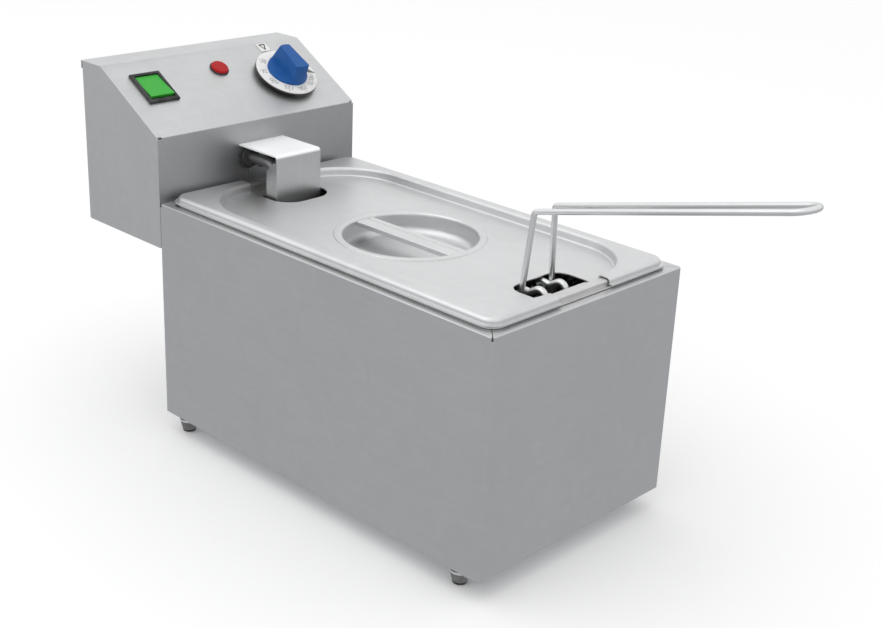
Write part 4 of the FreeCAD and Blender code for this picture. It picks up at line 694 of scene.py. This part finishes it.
enamel = moulded("white_enamel", (0.80, 0.80, 0.79), 0.34, 0.02, (0.6, 0.58, 0.52), 0.20)
ink = moulded("printing_ink", (0.05, 0.05, 0.05), 0.5, 0.02)
grey_ink = moulded("grey_ink", (0.13, 0.14, 0.14), 0.5, 0.02)
faint_ink = moulded("faint_ink", (0.30, 0.30, 0.30), 0.5, 0.02)
eased_skin("index_plate", enamel, 0.2 * mm)
mark_top = 0.66 * mm
mark_thickness = 0.1 * mm
mark_bm = bmesh.new()
triangle = [Vector((51.6, 78.2)) * mm, Vector((55.0, 70.8)) * mm, Vector((58.4, 78.2)) * mm]
middle = sum(triangle, Vector((0, 0))) / 3
inner = [middle + (corner - middle) * 0.5 for corner in triangle]
for i in range(3):
    after = (i + 1) % 3
    stroke = (triangle[i], triangle[after], inner[after], inner[i])
    printed(mark_bm, stroke, mark_top, mark_thickness)
index_mark = bpy.data.objects.new("index_mark", lay_on_panel(mark_bm, "index_mark"))
settle(index_mark, "head", ink)

# Thermostat: a moulded case behind the panel on a steel bridge, held by two screws, with a
# flatted shaft that comes out through the panel.
moulding_white = moulded("moulding_white", (0.72, 0.71, 0.68), 0.45, 0.05)
dress("thermostat_body", moulding_white)
smooth_skin("thermostat_screws", zinc_plate)
smooth_skin("thermostat_shaft", zinc_plate)

# Dial: a white enamelled disc printed with numbers and a grey off mark, over a thin black
# moulded ring. It sits on the shaft under the knob and turns with it.
eased_skin("dial_disc", enamel, 0.1 * mm, 2, 60)
smooth_skin("dial_skirt", switch_black)
dial_centre = Vector((51.2, 38.5)) * mm
dial_top = 6.2 * mm
number_radius = 20.0 * mm
number_size = 6.0 * mm
dot_radius = 24.0 * mm
dot_size = 0.5 * mm
dot_sides = 12
ink_thickness = 0.06 * mm
numbers = {"50": 131, "75": 167, "100": 203, "125": 239, "150": 275, "175": 311, "190": 333}
print_bm = bmesh.new()
for label, angle in numbers.items():
    curve = bpy.data.curves.new("number", "FONT")
    curve.body = label
    curve.size = number_size
    curve.align_x = "CENTER"
    curve.align_y = "CENTER"
    curve.space_character = 0.92
    curve.extrude = ink_thickness / 2
    text = bpy.data.objects.new("number", curve)
    scene.collection.objects.link(text)
    bpy.context.view_layer.update()
    letters = bpy.data.meshes.new_from_object(text)
    bpy.data.objects.remove(text)
    around = math.radians(angle)
    spot = dial_centre + Vector((math.cos(around), math.sin(around))) * number_radius
    letters.transform(Matrix.Translation((spot.x, spot.y, dial_top + ink_thickness / 2))
                      @ Matrix.Rotation(around - math.pi / 2, 4, "Z"))
    print_bm.from_mesh(letters)
    dot_spot = dial_centre + Vector((math.cos(around), math.sin(around))) * dot_radius
    dot_turns = [2 * math.pi * k / dot_sides for k in range(dot_sides)]
    dot = [dot_spot + Vector((math.cos(turn), math.sin(turn))) * dot_size for turn in dot_turns]
    printed(print_bm, dot, dial_top + ink_thickness, ink_thickness)
dial_print = bpy.data.objects.new("dial_numbers", lay_on_panel(print_bm, "dial_numbers"))
settle(dial_print, "thermostat_knob", faint_ink)
off_bm = bmesh.new()
off_corners = ((19.6, 1.6), (17.4, -4.2), (24.6, -6.6))
off_mark = [dial_centre + Vector(corner) * mm for corner in off_corners]
printed(off_bm, off_mark, dial_top + ink_thickness, ink_thickness)
dial_off_mark = bpy.data.objects.new("dial_off_mark", lay_on_panel(off_bm, "dial_off_mark"))
settle(dial_off_mark, "thermostat_knob", grey_ink)

# Knob: blue moulded plastic pressed on the shaft, a round base that slopes up to a tall
# tapered grip across it.
knob_plastic = moulded("knob_blue", (0.007, 0.085, 0.31), 0.36, 0.03, (0.3, 0.45, 0.6), 0.05)
knob_radius = 16.5 * mm
knob_rim = 1.2 * mm
grip_half = 5.5 * mm
grip_foot = 3.0 * mm
grip_top = 16.6 * mm
grip_reach = 13.6 * mm
grip_taper = 0.17
base_slope = 0.16
knob_bm = bmesh.new()
bmesh.ops.create_circle(knob_bm, cap_ends=True, segments=72, radius=knob_radius)
rim = bmesh.ops.extrude_face_region(knob_bm, geom=list(knob_bm.faces))["geom"]
bmesh.ops.translate(knob_bm, verts=[v for v in rim if isinstance(v, bmesh.types.BMVert)],
                    vec=(0, 0, knob_rim))
for side in (-1, 1):
    whole = list(knob_bm.verts) + list(knob_bm.edges) + list(knob_bm.faces)
    bmesh.ops.bisect_plane(knob_bm, geom=whole, dist=1e-6, plane_co=(side * grip_half, 0, 0),
                           plane_no=(1, 0, 0))
for vert in knob_bm.verts:
    if vert.co.z > knob_rim / 2:
        beyond = max(0.0, abs(vert.co.x) - grip_half)
        vert.co.z = grip_foot - base_slope * beyond
crest = max((f for f in knob_bm.faces if abs(f.calc_center_median().x) < grip_half / 2),
            key=lambda f: f.calc_center_median().z)
grip = bmesh.ops.extrude_face_region(knob_bm, geom=[crest])["geom"]
top_verts = [v for v in grip if isinstance(v, bmesh.types.BMVert)]
for vert in top_verts:
    along = vert.co.y / knob_radius
    vert.co.z = grip_top
    vert.co.x *= 1.0 - grip_taper * along
    vert.co.y *= grip_reach / knob_radius
if crest.is_valid:
    bmesh.ops.delete(knob_bm, geom=[crest], context="FACES_ONLY")
bmesh.ops.recalc_face_normals(knob_bm, faces=knob_bm.faces)
bmesh.ops.translate(knob_bm, verts=knob_bm.verts, vec=(dial_centre.x, dial_centre.y, dial_top))
knob_mesh = lay_on_panel(knob_bm, "grip_knob")
knob_mesh.shade_smooth()
knob_mesh.set_sharp_from_angle(angle=math.radians(30))
grip_knob = bpy.data.objects.new("grip_knob", knob_mesh)
settle(grip_knob, "thermostat_knob", knob_plastic, "knob")
ease = grip_knob.modifiers.new("ease", "BEVEL")
ease.width = 0.8 * mm
ease.segments = 4
ease.limit_method = "ANGLE"
ease.angle_limit = math.radians(24)
ease.harden_normals = True

# Cut-out: a second thermostat behind the back cover that stops the element when the oil gets
# too hot, with a black reset button in a threaded collar and nut.
dress("safety_thermostat", moulding_white)
smooth_skin("reset_nut", zinc_plate, 25)
smooth_skin("reset_button", moulded("button_black", (0.02, 0.02, 0.02), 0.35, 0.03))

# Terminals and inlet: a four-way moulded block with brass screws inside the head, and a black
# gland with its nut in the back cover for the mains lead.
dress("terminal_block", moulding_white)
smooth_skin("terminal_screws", brass)
smooth_skin("cord_gland", gland_plastic)
smooth_skin("cord_gland_nut", gland_plastic, 25)


# Basket: a rim bar bent into a closed loop and rib wires bent under it, all nickel-chromed
# mild steel, spot welded where they cross.
wire_chrome = metal("wire_chrome", (0.74, 0.745, 0.75), 0.36, (3.0, 3.0, 3.0), 0.02, 0.5, 0.08)
rim_low, rim_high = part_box("basket_rim")
ribs_low, ribs_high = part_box("basket_ribs")
rim_radius = 2.5 * mm
rim_corner = 12.0 * mm
rim_z = rim_low.z + rim_radius
rim_x = rim_high.x - rim_radius
rim_front = rim_low.y + rim_radius
rim_rear = rim_high.y - rim_radius
rim_mesh = bend_wire("basket_rim_wire", [(-rim_x, rim_front, rim_z), (rim_x, rim_front, rim_z),
                                         (rim_x, rim_rear, rim_z), (-rim_x, rim_rear, rim_z)],
                     rim_radius, rim_corner, closed=True)
settle(bpy.data.objects.new("basket_rim_wire", rim_mesh), "basket", wire_chrome, "basket_rim")

rib_radius = 1.5 * mm
rib_bend = 6.0 * mm
rib_side = ribs_high.x - rib_radius
rib_low_z = ribs_low.z + rib_radius
rib_inset = 24.0 * mm
rib_count = 4
cross_xs = (-24.0 * mm, 24.0 * mm)
rib_front = ribs_low.y + rib_radius
rib_rear = ribs_high.y - rib_radius
ribs_bm = bmesh.new()
for i in range(rib_count):
    y = rim_front + rib_inset + i * (rim_rear - rim_front - 2 * rib_inset) / (rib_count - 1)
    rib = bend_wire("rib", [(-rib_side, y, rim_z), (-rib_side, y, rib_low_z),
                            (rib_side, y, rib_low_z), (rib_side, y, rim_z)],
                    rib_radius, rib_bend, sides=10, step=10)
    ribs_bm.from_mesh(rib)
for x in cross_xs:
    rib = bend_wire("rib", [(x, rib_front, rim_z), (x, rib_front, rib_low_z),
                            (x, rib_rear, rib_low_z), (x, rib_rear, rim_z)],
                    rib_radius, rib_bend, sides=10, step=10)
    ribs_bm.from_mesh(rib)
ribs_mesh = bpy.data.meshes.new("basket_rib_wires")
ribs_bm.to_mesh(ribs_mesh)
ribs_bm.free()
ribs_mesh.shade_smooth()
settle(bpy.data.objects.new("basket_rib_wires", ribs_mesh), "basket", wire_chrome, "basket_ribs")


# Basket mesh: five panels of plain-woven wire, crimped over and under at every crossing. Their
# cut ends are welded to the rim and the ribs.
weave_pitch = 6.0 * mm
weave_radius = 0.38 * mm


def woven_panel(name, node, width, height, place):
    """Two sets of crimped wires, woven in the XY plane about the origin, then laid in place."""
    columns = int(width / weave_pitch)
    rows = int(height / weave_pitch)
    bm = bmesh.new()
    for across, count, crossings, length in ((0, columns, rows, height), (1, rows, columns, width)):
        for parity in (0, 1):
            start = -length / 2
            step = length / crossings
            turn = Matrix.Rotation(math.radians(-90), 4, "X")
            ring = bmesh.ops.create_circle(bm, segments=5, radius=weave_radius,
                                           matrix=Matrix.Translation((0, start, 0)) @ turn)["verts"]
            wire = list(ring)
            edges = list({edge for vert in ring for edge in vert.link_edges})
            bmesh.ops.edgeloop_fill(bm, edges=edges)
            lift = weave_radius * (1 if (parity + across) % 2 else -1)
            height_now = 0.0
            for k in range(crossings + 1):
                goal = 0.0 if k == crossings else lift * (1 if k % 2 else -1)
                run = step / 2 if k in (0, crossings) else step
                grown = bmesh.ops.extrude_edge_only(bm, edges=edges)["geom"]
                verts = [item for item in grown if isinstance(item, bmesh.types.BMVert)]
                bmesh.ops.translate(bm, verts=verts, vec=(0, run, goal - height_now))
                height_now = goal
                edges = [item for item in grown if isinstance(item, bmesh.types.BMEdge)
                         and item.verts[0] in verts and item.verts[1] in verts]
                wire += verts
            bmesh.ops.edgeloop_fill(bm, edges=edges)
            if across:
                bmesh.ops.rotate(bm, verts=wire, cent=(0, 0, 0),
                                 matrix=Matrix.Rotation(math.radians(90), 3, "Z"))
            span = height if across else width
            pitch = span / count
            edge_wire = -span / 2 + pitch / 2
            first = Vector((0, edge_wire, 0)) if across else Vector((edge_wire, 0, 0))
            along = Vector((0, pitch, 0)) if across else Vector((pitch, 0, 0))
            bmesh.ops.translate(bm, verts=wire, vec=first + along * parity)
            source = wire
            for i in range(parity + 2, count, 2):
                faces = list({face for vert in source for face in vert.link_faces})
                copy = bmesh.ops.duplicate(bm, geom=source + faces)["geom"]
                source = [item for item in copy if isinstance(item, bmesh.types.BMVert)]
                bmesh.ops.translate(bm, verts=source, vec=along * 2)
    bmesh.ops.recalc_face_normals(bm, faces=bm.faces)
    bmesh.ops.transform(bm, matrix=place, verts=bm.verts)
    mesh = bpy.data.meshes.new(name)
    bm.to_mesh(mesh)
    bm.free()
    mesh.shade_smooth()
    settle(bpy.data.objects.new(name, mesh), "basket", wire_chrome, node)


def panel_place(node, thin_axis):
    """Width, height and placement that lay a woven panel on a flat CAD sheet."""
    low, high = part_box(node)
    size = high - low
    centre = Matrix.Translation((low + high) / 2)
    upright = Matrix.Rotation(math.radians(90), 4, "X")
    if thin_axis == "Z":
        return size.x, size.y, centre
    if thin_axis == "X":
        return size.y, size.z, centre @ Matrix.Rotation(math.radians(90), 4, "Z") @ upright
    return size.x, size.z, centre @ upright


for side_node, thin_axis in (("basket_floor", "Z"), ("basket_left_side", "X"),
                             ("basket_right_side", "X"), ("basket_front", "Y"),
                             ("basket_rear", "Y")):
    width, height, place = panel_place(side_node, thin_axis)
    woven_panel(side_node + "_weave", side_node, width, height, place)

# Hooks and sockets: two bent wires that hang the basket on the tank while it drains, and a
# plate with two short tubes for the handle's legs.
hook_radius = 2.3 * mm
hook_bend = 5.0 * mm
hook_x = 10.3 * mm
hook_end_y = front_y + 31.1 * mm
under_lid_z = deck_z - 4.5 * mm
hook_root_z = rim_z + rim_radius + 3.2 * mm
hook_trough_y = hook_end_y + 12.9 * mm
hook_crest_z = deck_z + 3.0 * mm
hook_tail_z = deck_z - 26.0 * mm
hooks_bm = bmesh.new()
for x in (-hook_x, hook_x):
    hook = bend_wire("hook", [(x, rim_front - 0.5 * mm, hook_root_z),
                              (x, rim_front - 4.0 * mm, under_lid_z),
                              (x, hook_trough_y, under_lid_z - 0.7 * mm),
                              (x, hook_end_y, hook_crest_z), (x, hook_end_y, hook_tail_z)],
                     hook_radius, [0, 3.5 * mm, hook_bend, hook_bend, 0], sides=24, step=6)
    hooks_bm.from_mesh(hook)
hooks_mesh = bpy.data.meshes.new("basket_hook_wires")
hooks_bm.to_mesh(hooks_mesh)
hooks_bm.free()
hooks_mesh.shade_smooth()
hooks_mesh.set_sharp_from_angle(angle=math.radians(40))
settle(bpy.data.objects.new("basket_hook_wires", hooks_mesh), "basket", wire_chrome, "basket_hooks")
smooth_skin("handle_sockets", satin_steel)

# Handle: one chromed wire bent into two legs, two bars and a round tip; its legs drop into the
# basket's sockets, so that it lifts off once the basket is in.
handle_radius = 2.0 * mm
handle_bend = 3.0 * mm
handle_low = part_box("basket_handle")[0]
bar_half = 10.1 * mm
leg_half = 16.5 * mm
handle_pitch = math.radians(14.2)
leg_top = Vector((front_y + 45.0 * mm, deck_z + 49.0 * mm))
leg_y = leg_top.x + 3.2 * mm
leg_bend_z = deck_z - 22.0 * mm
tip_y = handle_low.y + handle_radius
tip_z = leg_top.y + (leg_top.x - tip_y) * math.tan(handle_pitch)
half_handle = [(leg_half, leg_y, handle_low.z), (leg_half, leg_y, leg_bend_z),
               (bar_half, leg_top.x, leg_top.y), (bar_half, tip_y, tip_z)]
handle_route = half_handle + [(-x, y, z) for x, y, z in reversed(half_handle)]
handle_bends = [handle_bend] * 3 + [bar_half * 0.999] * 2 + [handle_bend] * 3
handle_mesh = bend_wire("handle_wire", handle_route, handle_radius, handle_bends, sides=32)
settle(bpy.data.objects.new("handle_wire", handle_mesh), "handle", wire_chrome, "basket_handle")
